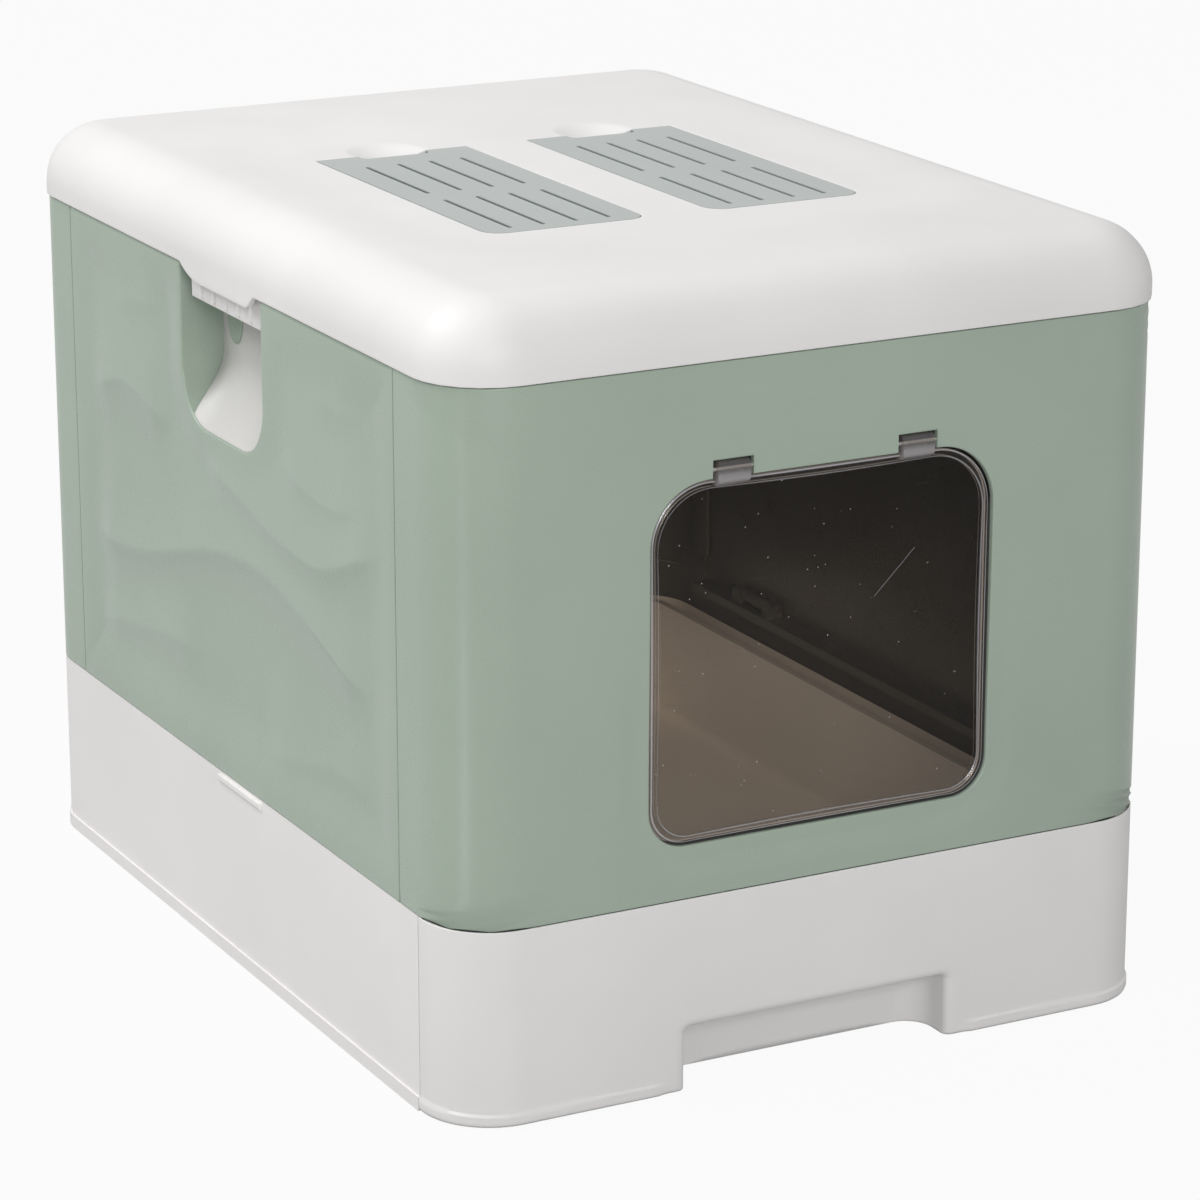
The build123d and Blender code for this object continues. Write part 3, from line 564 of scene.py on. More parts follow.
def smoke_plastic(name):
    """Smoke-brown clear plastic: tinted where light passes, with dust specks, hair scratches and haze, and
    paler where the rim attribute puts painted highlights.
    """
    finish = new_finish(name)
    place = finish.place()
    # The rim attribute is a painted highlight: pale lines by the flap's bead and the paler lower part of a
    # clip
    rim = finish.node("ShaderNodeAttribute", {"attribute_name": "rim"}, None, "Fac")
    haze = finish.noise(place, 26.0, 4.0).span(0.35, 0.75)
    dust = (finish.cells(place, 190.0) < 0.060) * (finish.noise(place, 60.0, 1.0) > 0.55)
    streak = finish.noise(finish.place((1500.0, 30.0, 55.0), (0.0, 0.55, 0.0)), 1.0, 1.0).span(0.72, 0.78)
    other = finish.noise(finish.place((60.0, 30.0, 1300.0), (0.0, 0.35, 0.0)), 1.0, 1.0).span(0.73, 0.79)
    broken = finish.noise(place, 16.0).span(0.52, 0.64)
    hairs = streak.larger(other) * broken
    moved = finish.node("ShaderNodeMapping", None, {"Vector": place, "Location": SCRATCH_AT})
    slant = finish.node("ShaderNodeMapping", None, {"Vector": moved, "Rotation": (0.0, SCRATCH_TURN, 0.0)})
    across_it, _, along_it = finish.axes(slant)
    wobble = (finish.noise(place, 90.0) - 0.5) * 0.0009
    face = finish.axes(place)[1] < FLAP_Y * MM
    scratch = ((across_it + wobble).size() < SCRATCH_HALF) * (along_it.size() < SCRATCH_REACH) * face
    marks = dust.larger(hairs * 0.22).larger(scratch * 0.5)
    body = finish.plain(
        Base_Color=finish.mix(tone(SMOKE_DARK), tone(SMOKE_MARKS_AND_HIGHLIGHT), marks.larger(rim * rim)),
        Roughness=0.10 + haze * 0.12 + marks * 0.3,
        Specular_IOR_Level=0.6,
    )
    clear = finish.node("ShaderNodeBsdfTransparent", None, {"Color": tone(SMOKE_CLEAR)})
    share = (0.075 + haze * 0.03 + marks * 0.6).larger(rim * 0.8)
    return finish.shown(finish.node("ShaderNodeMixShader", None, {0: share, 1: clear, 2: body}))


def drawn_steel(name):
    """Drawn steel wire: fine lines along y in the gloss, with a few dull patches."""
    finish = new_finish(name)
    drawn = finish.noise(finish.place((4000.0, 60.0, 4000.0)), 1.0)
    dull = finish.noise(finish.place(), 120.0, 3.0)
    return finish.shown(finish.plain(
        Base_Color=finish.mix(tone((0.52, 0.52, 0.53)), grey(0.66), drawn),
        Metallic=1.0,
        Roughness=0.24 + drawn * 0.12 + dull * 0.1,
        Normal=finish.bump(drawn, 0.2, 0.00005),
    ))


def carbon_felt(name):
    """Carbon felt: dark matted fibres, paler lint, and a needled pattern of small pits."""
    finish = new_finish(name)
    place = finish.place()
    fibre = finish.noise(finish.place((1.0, 1.0, 2.5), (0.0, 0.0, 0.6)), 1500.0, 5.0)
    matted = finish.noise(place, 240.0, 4.0)
    pits = finish.cells(place, 420.0)
    lint = finish.noise(place, 520.0).span(0.62, 0.72)
    fibres = fibre * 0.6 + matted * 0.4
    dark = finish.mix(tone((0.020, 0.021, 0.022)), tone((0.075, 0.076, 0.078)), fibres)
    return finish.shown(finish.plain(
        Base_Color=finish.mix(dark, grey(0.20), lint * 0.5),
        Roughness=0.92 + (fibre - 0.5) * 0.1,
        Specular_IOR_Level=0.2,
        Sheen_Weight=0.25,
        Normal=finish.bump(fibre * 0.7 + pits * 0.5, 0.6, 0.0006),
    ))


WHITE_COLOUR = (0.835, 0.823, 0.815)
BASE_COLOUR = (0.880, 0.860, 0.852)
# Painted shade: the scoop is the lid's white plastic, darkened for the shade it lies in under the lid's
# tongue
SCOOP_SHADED_COLOUR = (0.628, 0.619, 0.600)
GREEN_COLOUR = (0.368, 0.448, 0.366)
# Painted shade: a near black for the inner sides of the base and walls, where the box is dark inside
INSIDE_SHADE_COLOUR = (0.104, 0.109, 0.111)
VENT_COLOUR = (0.455, 0.488, 0.478)
# Painted shade down the walls of the vent covers' slots
SLOT_SHADE_COLOUR = (0.16, 0.18, 0.175)

# Steps behind the outline where the painted shade on the inner sides begins, and the depths below a vent
# cover's top between which the painted shade in its slots grows, with the pale skin at its foot left out
BASE_SHADE_STEP = 2.3
WALL_SHADE_STEP = 2.85
SLOT_SHADE_FADE = (0.25, 0.9)
SLOT_SKIN = 0.3


def within(x, y, step):
    """1 where a place lies further in than a step behind the walls' outline, round their corners too."""
    over_x = (x.size() - FLAT * MM).larger(0.0)
    over_y = (y.size() - (HALF_DEPTH - CORNER) * MM).larger(0.0)
    return over_x * over_x + over_y * over_y < ((CORNER - step) * MM) ** 2


def shade_inside_base(x, y, z):
    """1 on the inner side of the base above the tray's rim, where its dark colour is a painted shade."""
    return within(x, y, BASE_SHADE_STEP) * (z > TRAY_HIGH[2] * MM)


def shade_inside_walls(x, y, z):
    """1 on the inner sides of the walls, apart from the collar of the handle notch: there the dark is a
    painted shade.
    """
    collar = (y.size() < COLLAR_SIDE * MM) * (z > COLLAR_FOOT * MM)
    return within(x, y, WALL_SHADE_STEP) * (1 - collar)


def slot_shade(x, y, z):
    """Painted shade on a vent cover: 0 on its top, rising to 1 down the walls of its slots."""
    start, end = ((VENT_HEAD - depth) * MM for depth in SLOT_SHADE_FADE)
    return z.span(start, end) * (z > (VENT_FOOT + SLOT_SKIN) * MM)


WHITE = moulded_plastic("white_plastic", WHITE_COLOUR)
# The base and green walls carry painted shade inside the box, the vent covers down their slots
BASE = moulded_plastic("base_plastic", BASE_COLOUR, INSIDE_SHADE_COLOUR, shade_inside_base)
# The scoop's finish is white plastic with a painted shade in its darker colour
SCOOP_PAINTED_SHADE = moulded_plastic("scoop_plastic", SCOOP_SHADED_COLOUR)
GREEN = moulded_plastic("green_plastic", GREEN_COLOUR, INSIDE_SHADE_COLOUR, shade_inside_walls, 0.29, 0.00060)
VENT = moulded_plastic("vent_plastic", VENT_COLOUR, SLOT_SHADE_COLOUR, slot_shade, 0.46, depth=0.00007)
SMOKE = smoke_plastic("smoke_plastic")
STEEL = drawn_steel("hinge_steel")
FELT = carbon_felt("filter_felt")


def shading_nodes():
    """Smooth shading for CAD nodes: loose triangles are joined and edges under 32 degrees are smoothed."""
    group = bpy.data.node_groups.new("cad_shading", "GeometryNodeTree")
    for way in ("INPUT", "OUTPUT"):
        group.interface.new_socket("Geometry", in_out=way, socket_type="NodeSocketGeometry")
    graph = Graph(group)
    start = graph.node("NodeGroupInput")
    joined = graph.node("GeometryNodeMergeByDistance", None, {"Geometry": start, "Distance": 1e-6})
    faces = graph.node("GeometryNodeSetShadeSmooth", {"domain": "FACE"}, {"Geometry": joined})
    angle = graph.node("GeometryNodeInputMeshEdgeAngle", None, None, "Unsigned Angle")
    limit = {0: angle, 1: math.radians(32)}
    sharp = graph.node("FunctionNodeCompare", {"operation": "GREATER_THAN"}, limit)
    inputs = {"Geometry": faces, "Selection": sharp, "Shade Smooth": False}
    edges = graph.node("GeometryNodeSetShadeSmooth", {"domain": "EDGE"}, inputs)
    graph.node("NodeGroupOutput", None, {0: edges})
    return group


CAD_SHADING = shading_nodes()


def dress(finish, *nodes):
    """Gives CAD nodes that stay in view their finish and smooth shading."""
    for node in nodes:
        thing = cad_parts[node]
        thing.data.materials.clear()
        thing.data.materials.append(finish)
        thing.modifiers.new("shading", "NODES").node_group = CAD_SHADING
        thing.modifiers.new("weighted", "WEIGHTED_NORMAL").keep_sharp = True


def show(name, data):
    """A new object in the scene."""
    thing = bpy.data.objects.new(name, data)
    bpy.context.scene.collection.objects.link(thing)
    return thing


def put(name, mould, finish, body, node):
    """Puts a mould into the scene as a piece that rides on a body, in place of a CAD node that it hides."""
    mesh = mould.mesh(name)
    mesh.materials.append(finish)
    thing = show(name, mesh)
    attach(thing, body)
    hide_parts(node)
    return thing


def notch_rays(half, depth, radius, end, height, counts):
    """Matched points on a notch's edge and on the panel's edge, with u along the panel and v from its open
    edge: down, round a corner, along the foot and up again."""
    down, turn, bottom = counts
    shoulder = min(height * 0.42, depth + 20)
    foot = half * 0.9
    flat = half - radius
    inner = np.vstack([
        line((-half, 0), (-half, depth - radius), down),
        arc((-flat, depth - radius), radius, 180, 90, 2 * turn),
        line((-flat, depth), (flat, depth), bottom),
        [(flat, depth)],
    ])
    stops = [(-end, 0), (-end, shoulder), (-end, height), (-foot, height), (foot, height)]
    outer = np.vstack([lines(stops, (down, turn, turn, bottom)), stops[-1:]])
    sides = down + 2 * turn
    mirror = np.array([-1.0, 1.0])
    return [np.vstack([way, (way[:sides] * mirror)[::-1]]) for way in (inner, outer)]


def dune_field(y, z):
    """Share of the relief: 0 by the panel's edges and by the notch, 1 away from them."""
    rim = rim_gap(y, z, SIDE_END, WALL_FOOT + BEAD_HEIGHT, SIDE_HEAD)
    notch = round_box(y, SIDE_HEAD - z, NOTCH_HALF, SIDE_HEAD - NOTCH_FOOT, NOTCH_ROUND)
    return fade(rim, *DUNE_BORDER) * fade(notch, *NOTCH_BORDER)


def dunes(y, z):
    """Dune relief: from each crest c(y) the face falls slowly above it, as exp(-(z - c) / slope), and fast
    below it, as exp(-(c - z) / steep). The dunes d are joined as (sum d^p)^(1/p); the ends of each crest
    fade out, and so does the relief by the panel's edges."""
    total = np.zeros(np.broadcast(y, z).shape)
    for peak, middle, rise, front, rear, start, end, strength in DUNES:
        turn = np.clip((y - peak) / np.where(y < peak, front, rear), -1.25, 1.25)
        above = z - middle - rise * np.cos(np.pi * turn)
        away = np.hypot(above, DUNE_CREST) - DUNE_CREST
        fall = np.exp(-away / np.where(above > 0, DUNE_SLOPE, DUNE_STEEP))
        ends = fade(y, start, start + DUNE_ENDS) * fade(-y, -end, -end + DUNE_ENDS)
        total = total + (DUNE_HEIGHT * strength * ends * fall) ** DUNE_JOIN
    return (total ** (1 / DUNE_JOIN) - DUNE_SINK) * dune_field(y, z)


def notch_low(y, half):
    """Height of the notch's lower edge at y: its foot, then a quarter round up to both sides."""
    turn = np.clip(np.abs(y) - (half - NOTCH_ROUND), 0.0, NOTCH_ROUND)
    return NOTCH_FOOT + NOTCH_ROUND - np.sqrt(NOTCH_ROUND ** 2 - turn ** 2)


def scoop_depth(y, z):
    """Depth of the scoop behind the wall's face: 0 along the notch's lower edge, then D (1 - (1 - q)^p) up
    to the bend."""
    low = np.minimum(notch_low(y, NOTCH_HALF), NOTCH_FOOT + SCOOP_RISE)
    q = np.clip((z - low) / (SCOOP_BEND - low), 0.0, 1.0)
    return SCOOP_DEPTH * (1 - (1 - q) ** SCOOP_CURVE)


def catch():
    """Points of the catch on the scoop: a tab with a half ellipse as its tip, along x and drawn in."""
    turn = np.linspace(-np.pi, 0, 25)
    tip = np.stack([CATCH_AT + CATCH_HALF * np.cos(turn), CATCH_LOW + CATCH_TIP * (1 + np.sin(turn))], -1)
    tab = np.vstack([[(CATCH_AT - CATCH_HALF, CATCH_HEAD)], tip, [(CATCH_AT + CATCH_HALF, CATCH_HEAD)]])
    centre = tab.mean(0)
    tab = centre + (tab - centre) * np.array([0.86, 0.96, 1.0, 1.0])[:, None, None]
    x = -HALF_WIDTH + SCOOP_DEPTH - np.array([1.1, 1.0, 0.7, -0.6])
    return stack(x[:, None], tab[..., 0], tab[..., 1])


def side_wall():
    """Left wall: rays run from the notch's edge to the panel's edge. Along each ray the section goes round
    the collar, the face with its relief, the edge and the back. Face: x = -(half width + relief - edge
    rounds)."""
    mould = Mould()
    depth, panel = SIDE_HEAD - NOTCH_FOOT, (SIDE_END, SIDE_HEAD - WALL_FOOT, (50, 76, 60))
    inner, outer = notch_rays(NOTCH_HALF, depth, NOTCH_ROUND, *panel)
    grown, _ = notch_rays(NOTCH_HALF + COLLAR, depth + COLLAR, NOTCH_ROUND + COLLAR, *panel)

    def space(uv, out):
        return stack(-(HALF_WIDTH + out), uv[..., 0], SIDE_HEAD - uv[..., 1])

    face = across(inner, outer, 78)
    y, z = face[..., 0], SIDE_HEAD - face[..., 1]
    rim = rim_gap(y, z, SIDE_END, WALL_FOOT, SIDE_HEAD)
    notch = round_box(y, face[..., 1], NOTCH_HALF, depth, NOTCH_ROUND)
    notch = np.where(face[..., 1] < depth - NOTCH_ROUND, np.abs(y) - NOTCH_HALF, notch)
    out = dunes(y, z) - edge_drop(rim, EDGE) - edge_drop(np.maximum(notch, 0), NOTCH_EDGE)
    reach = np.maximum(scoop_depth(inner[:, 0], SIDE_HEAD - inner[:, 1]) + COLLAR_LAP, WALL)[:, None]
    inside = -(NOTCH_EDGE + (reach - NOTCH_EDGE) * np.linspace(1, 0, 9)[:-1])
    outside = -(WALL + (reach - WALL) * np.linspace(0, 1, 4)[1:])
    behind = across(outer, grown, 24)
    hollow = dune_field(behind[..., 0], SIDE_HEAD - behind[..., 1])
    section = [
        space(inner[:, None], inside),
        space(face, out),
        space(outer[:, None], -WALL),
        space(behind, -WALL - DUNE_BACK * hollow),
        space(grown[:, None], outside),
    ]
    mould.grid(np.concatenate(section, 1), round_columns=True, capped=True)
    for end in (-1, 1):
        root = (TONGUE_X, end * (SIDE_END - TONGUE_ROOT), WALL_FOOT + TONGUE_INSET)
        mould.bar(root, (TONGUE_X + TONGUE, end * WALL_HIGH[1], SIDE_HEAD - TONGUE_INSET), 0.8)
        low, high = end * KNUCKLE_AT - KNUCKLE_HALF, end * KNUCKLE_AT + KNUCKLE_HALF
        mould.rod(HINGE_X, HINGE_Z, low, high, KNUCKLE_RADIUS)
        mould.bar((ARM_X, low, ARM_LOW), (HINGE_X, high, ARM_HIGH), 0.8)
    mould.grid(catch(), round_columns=True, capped=True)
    return mould


def door_outline(grow, counts):
    """The door opening's edge grown outwards, anticlockwise from the foot's left end, with the rooms for the
    two clips in its head, or without them where the count for the clips is 0."""
    side, foot_turn, foot, head_turn, head, clip = counts
    half, low, high = DOOR_HALF + grow, DOOR_FOOT - grow, DOOR_HEAD + grow
    r_foot, r_head = DOOR_FOOT_ROUND + grow, DOOR_TOP_ROUND + grow
    room, top = CLIP_ROOM / 2 + grow, CLIP_HEAD + grow
    x_foot, x_head = half - r_foot, half - r_head
    z_foot, z_head = low + r_foot, high - r_head
    right, steps = [(x_head, high)], []
    if clip:
        near, far = CLIP_AT - room, CLIP_AT + room
        right += [(far, high), (far, top), (near, top), (near, high)]
        steps = [clip, clip, 2 * clip, clip]
    return np.vstack([
        line((-x_foot, low), (x_foot, low), foot),
        arc((x_foot, z_foot), r_foot, -90, 0, foot_turn),
        line((half, z_foot), (half, z_head), side),
        arc((x_head, z_head), r_head, 0, 90, head_turn),
        lines(right + opposite(right), steps + [head] + steps[::-1]),
        arc((-x_head, z_head), r_head, 90, 180, head_turn),
        line((-half, z_head), (-half, z_foot), side),
        arc((-x_foot, z_foot), r_foot, 180, 270, foot_turn),
    ])


def front_outline(counts):
    """The front wall's edge in wall coordinates, point for point opposite the door's outline: the stops of
    its right half from foot to head, and their mirror image back down."""
    side, foot_turn, foot, head_turn, head, clip = counts
    low, high, end = WALL_FOOT, FRONT_HEAD, WRAP_END
    right = [(110, low), (end, low), (end, low + 45), (end, high - 42), (end, high)]
    right += [(at, high) for at in (96, 66, 36, 32)]
    left = opposite(right)
    half = 2 * [foot_turn // 2] + [side] + 2 * [head_turn // 2] + [2 * clip, 2 * clip, clip]
    return lines(left[-1:] + right + left, [foot] + half + [head] + half[::-1])


def foot_plate(mould, side):
    """The plate behind a wall's foot: of the front wall for side -1, of the rear wall for side 1."""
    half, y = FLAT - PLATE_INSET, HALF_DEPTH - WALL
    mould.bar((-half, side * y, FRONT_LOW[2]), (half, side * (y - PLATE), WALL_FOOT + PLATE_RISE), 0.6)


def front_wall():
    """Front wall: rays run from the door's edge to the wall's edge in wall coordinates (a, z), which wrap()
    bends round both corners. The section along a ray goes round the jamb, the face, the edge and the back."""
    mould = Mould()
    counts = (46, 12, 60, 18, 36, 6)
    inner, grown, outer = door_outline(0.0, counts), door_outline(COLLAR, counts), front_outline(counts)

    def dish(z):
        return DOOR_DISH * (1 - fade(z, *DOOR_DISH_FADE))

    face = across(inner, outer, 56)
    a, z = face[..., 0], face[..., 1]
    half_high = (DOOR_HEAD - DOOR_FOOT) / 2
    door = round_box(a, z - DOOR_MIDDLE, DOOR_HALF, half_high, (DOOR_TOP_ROUND + DOOR_FOOT_ROUND) / 2)
    rim = rim_gap(a, z, WRAP_END, WALL_FOOT, FRONT_HEAD)
    near = np.linalg.norm(face - inner[:, None], axis=-1)
    sunk = dish(z) * (1 - fade(door, *DOOR_BORDER))
    out = -sunk - edge_drop(rim, EDGE) - edge_drop(near, JAMB_EDGE)
    lip = JAMB_EDGE + dish(inner[:, 1])[:, None]
    reach = (JAMB_DEPTH + (JAMB_HEAD - JAMB_DEPTH) * fade(inner[:, 1], *JAMB_FADE))[:, None]
    inside = -(lip + (reach - lip) * np.linspace(1, 0, 6)[:-1])
    outside = -(WALL + (reach - WALL) * np.linspace(0, 1, 3)[1:])
    behind = across(outer, grown, 26)
    section = [
        wrap(inner[:, None], inside),
        wrap(face, out),
        wrap(outer[:, None], -WALL),
        wrap(behind, -WALL),
        wrap(grown[:, None], outside),
    ]
    mould.grid(np.concatenate(section, 1), round_rows=True, round_columns=True)
    foot_plate(mould, -1)
    return mould


def rear_wall():
    """Rear wall: a section of face, head, back and foot carried along the plan from one return to the other,
    mirrored in y from the front's wall coordinates."""
    mould = Mould()
    low, high = WALL_FOOT, FRONT_HEAD
    ends = WRAP_END - np.array([0, 0.1, 0.3, 0.7, 6, 14])
    half = np.concatenate([ends, np.linspace(FLAT, FLAT + BEND, 25), np.linspace(-FLAT, FLAT, 24)])
    a = np.unique(np.round(np.concatenate([half, -half]), 6))
    up = np.concatenate([
        low + np.array([0, 0.1, 0.3, 0.7, 2, 4.0, 4.4, 4.7, 5.1, 5.4]),
        np.linspace(low + 9, high - 3, 40),
        high - np.array([1.5, 0.7, 0.3, 0.1, 0.0]),
    ])
    rim = rim_gap(a[:, None], up, WRAP_END, low, high)
    face = wrap(stack(a[:, None], up), -edge_drop(rim, EDGE))
    back = wrap(stack(a[:, None], np.array([high, (low + high) / 2, low])), -WALL)
    mould.grid(np.concatenate([face, back], 1) * np.array([1.0, -1.0, 1.0]), round_columns=True, capped=True)
    foot_plate(mould, 1)
    return mould


def scoop():
    """Left handle scoop: a sheet with u across the notch and w up the section. It lies at the notch's edge
    below and bends back to an upright wall: x = -(half width) + depth(z). Its lower edge follows the notch's
    round."""
    half = NOTCH_HALF - SCOOP_GAP
    u = [np.linspace(-1, -0.86, 8), np.linspace(-0.86, 0.86, 34)[1:-1], np.linspace(0.86, 1, 8)]
    w = [np.linspace(0, 0.10, 8), np.linspace(0.10, 0.55, 24)[1:], np.linspace(0.55, 1, 10)[1:]]
    y = half * np.concatenate(u)
    low = (notch_low(y, half) + SCOOP_LIFT)[:, None]
    z = low + (SCOOP_HEAD - low) * np.concatenate(w)
    depth = np.maximum(scoop_depth(y[:, None], z), SCOOP_LEAST)
    front = stack(-HALF_WIDTH + depth + edge_drop(z - low, SCOOP_EDGE), y[:, None], z)
    slope_x, _, slope_z = np.moveaxis(np.gradient(front, axis=1), -1, 0)
    size = np.hypot(slope_x, slope_z)
    behind = front + SCOOP_WALL * stack(slope_z / size, 0 * size, -slope_x / size)
    behind[..., 2] = np.maximum(behind[..., 2], SCOOP_FOOT)
    return Mould().grid(np.concatenate([front, behind[:, ::-1]], 1), round_columns=True, capped=True)


def lid_height(x, y):
    """Top of the lid: a flat rim, a shallow dish with a smooth slope, and behind each vent a soft thumb
    dimple of depth d (1 - (r / R)²)^1.3."""
    middle, half = (DISH_FRONT + DISH_REAR) / 2, (DISH_REAR - DISH_FRONT) / 2
    dish = DISH * (1 - fade(round_box(x, y - middle, DISH_HALF, half, DISH_ROUND), 0, DISH_SLOPE))
    away = np.hypot(np.abs(x) - VENT_AT, y - VENT_REAR - DIMPLE_BACK)
    return LID_TOP - dish - DIMPLE * np.maximum(1 - (away / DIMPLE_RADIUS) ** 2, 0) ** 1.3


def lid_tongue(y):
    """How far the skirt hangs lower by the handle notch: flat, with a hollow flare 1 - (1 - t)^2.2 at the
    rear and a bevel at the front."""
    rear = np.clip((LID_TONGUE_REAR - y) / LID_FLARE, 0, 1)
    return LID_TONGUE * fade(y, *LID_BEVEL) * (1 - (1 - rear) ** 2.2)


def lid():
    """Lid: two mirrored halves. Rays run from the vent opening to the flat top's edge; the skirt is a section
    of quarter round, upright wall, foot and inner wall that is carried along that edge."""
    half = Mould()
    x0, x1 = VENT_AT - VENT_HALF, VENT_AT + VENT_HALF
    y0, y1 = VENT_FRONT, VENT_REAR
    r, q, c = VENT_ROUND, VENT_REAR_ROUND, LID_CORNER
    ex, ey = LID_TOP_X - LID_ROUND, LID_TOP_Y - LID_ROUND
    front, rear = -150, 130
    n = (8, 30, 14, 6, 14, 90, 14, 6, 14, 60, 8, 12, 60, 12)
    inner = np.vstack([
        arc((x0 + r, y0 + r), r, 225, 270, n[0]),
        line((x0 + r, y0), (x1 - r, y0), n[1]),
        arcs((x1 - r, y0 + r), r, (-90, -55, -35, 0), n[2:5]),
        line((x1, y0 + r), (x1, y1 - q), n[5]),
        arcs((x1 - q, y1 - q), q, (0, 35, 55, 90), n[6:9]),
        line((x1 - q, y1), (x0 + q, y1), n[9]),
        arcs((x0 + q, y1 - q), q, (90, 135, 180), n[10:12]),
        line((x0, y1 - q), (x0, y0 + r), n[12]),
        arc((x0 + r, y0 + r), r, 180, 225, n[13]),
    ])
    outer = np.vstack([
        lines([(0, -ey), (x0 + r, -ey), (x1, -ey), (ex - c, -ey)], n[:3]),
        arc((ex - c, -ey + c), c, -90, 0, n[3]),
        lines([(ex, -ey + c), (ex, front), (ex, rear), (ex, ey - c)], n[4:7]),
        arc((ex - c, ey - c), c, 0, 90, n[7]),
        lines([(ex - c, ey), (x1, ey), (x0, ey), (0, ey), (0, rear), (0, front), (0, -ey)], n[8:]),
    ])
    top = across(inner, outer, 44, 1.35)
    near = np.linalg.norm(top - inner[:, None], axis=-1)
    height = lid_height(top[..., 0], top[..., 1]) - edge_drop(near, VENT_EDGE)
    above = stack(top[..., 0], top[..., 1], height)
    under = across(outer, inner, 18)
    depth = np.minimum(LID_UNDER, lid_height(under[..., 0], under[..., 1]) - LID_LEAST)
    below = stack(under[..., 0], under[..., 1], depth)
    for part in (above, below, np.stack([below[:, -1], above[:, 0]], 1)):
        half.grid(part, round_rows=True)

    path = np.vstack([outer[:sum(n[:11])], [(0, ey)]])
    ahead = np.gradient(path, axis=0)
    normal = np.stack([ahead[:, 1], -ahead[:, 0]], -1) / np.linalg.norm(ahead, axis=1)[:, None]
    normal[0], normal[-1] = (0, -1), (0, 1)
    beside = fade(normal[:, 0], 0.9, 0.999)
    foot = (LID_FOOT - lid_tongue(path[:, 1]) * beside)[:, None]
    turn = np.linspace(0, np.pi / 2, 22)
    back = turn[::-2]
    inner_round = LID_ROUND - LID_WALL
    bend = LID_TOP - LID_ROUND
    out = np.concatenate([
        LID_ROUND * np.sin(turn),
        np.full(7, LID_ROUND),
        LID_ROUND - np.array([0.15, 0.5]),
        inner_round + np.array([0.4, 0.0]),
        np.full(3, inner_round),
        inner_round * np.sin(back),
    ])
    rise = np.concatenate([
        LID_TOP - LID_ROUND * (1 - np.cos(turn)) + 0 * foot,
        bend + (foot + 0.6 - bend) * np.linspace(0, 1, 8)[1:],
        foot + np.array([0.2, 0.0]),
        foot + np.array([0.0, 0.3]),
        foot + (bend - LID_WALL - foot) * np.array([0.3, 0.6, 0.9]),
        LID_UNDER - inner_round * (1 - np.cos(back)) + 0 * foot,
    ], 1)
    around = path[:, None] + normal[:, None] * out[:, None]
    half.grid(stack(around[..., 0], around[..., 1], rise))
    whole = Mould().add(half).add(half, (-1, 1, 1))
    for first, second, radius in LID_LIPS:
        for side in ((1, 1, 1), (-1, -1, 1)):
            whole.bar(np.multiply(first, side), np.multiply(second, side), radius)
    return whole


def flap_clip():
    """Section of a clip in y and z: a hook that goes over its pin and down the flap's front."""
    return np.vstack([
        lines([(-250.2, 292.0), (-248.9, 295.0), (-248.8, PIN_Z)], (4, 4)),
        arc((PIN_Y, PIN_Z), HOOK_RADIUS, 0, 180, 18),
        line((PIN_Y - HOOK_RADIUS, PIN_Z), (-256.6, 297.5), 5),
        arc((-253.9, 296.4), 2.9, 160, 250, 8),
        line((-254.6, 293.6), (-252.6, 292.0), 3),
    ])


def flap():
    """Flap: rays run from the middle to the edge. Both faces carry a bead, a raised cosine near the edge, and
    the rim is rounded: y = m +- (thickness + bead), with painted highlight lines beside the bead. Each clip
    is a hook section carried along x, with a painted highlight on its lower part."""
    mould = Mould()
    edge = door_outline(-FLAP_GAP, (30, 14, 30, 18, 30, 0))
    centre = np.array([0.0, DOOR_MIDDLE])
    inset = np.array([
        0.0, 0.12, 0.3, 0.6, 0.9, 1.2, 1.5, 1.8, 2.1, 2.4, 2.8,
        3.2, 3.5, 3.8, 4.2, 4.6, 5.0, 5.6, 7.0, 10.0, 16.0,
    ])
    way = edge - centre
    size = np.linalg.norm(way, axis=1)[:, None]
    along = np.hstack([np.linspace(0, 1, 8)[:-1] * (size - 22), size - inset[::-1]])
    spot = centre + way[:, None] * (along / size)[..., None]
    step = size - along
    # Painted highlights: pale lines beside the bead and a faint band along the edge
    pale = np.maximum(*[hump(step - at, width) for at, width in (HIGHLIGHT_OUTER, HIGHLIGHT_INNER)])
    rim = 0.90 * pale + 0.18 * (step < HIGHLIGHT_INNER[0])
    thick = FLAP_HALF - edge_drop(step, FLAP_HALF) + FLAP_BEAD * hump(step - FLAP_BEAD_AT, FLAP_BEAD_WIDTH)
    front, back = (stack(spot[..., 0], FLAP_Y + side * thick, spot[..., 1]) for side in (-1, 1))
    painted_highlights = np.concatenate([rim, rim[:, ::-1]], 1)
    mould.grid(np.concatenate([front, back[:, ::-1]], 1), round_rows=True, rim=painted_highlights)
    hook = flap_clip()
    middle = hook.mean(0)
    share = np.array([-1, -0.985, -0.95, -0.9, 0.9, 0.95, 0.985, 1])[:, None]
    shrink = np.array([0.86, 0.93, 0.98, 1, 1, 0.98, 0.93, 0.86])[:, None, None]
    ring = middle + (hook - middle) * shrink
    # Painted highlight: a clip is paler on its lower part
    shade = 0.50 + 0.32 * (1 - fade(ring[..., 1], *CLIP_HIGHLIGHT_FADE))
    for at in (-CLIP_AT, CLIP_AT):
        points = stack(at + share * CLIP_WIDTH / 2, ring[..., 0], ring[..., 1])
        mould.grid(points, round_columns=True, capped=True, rim=shade)
    return mould


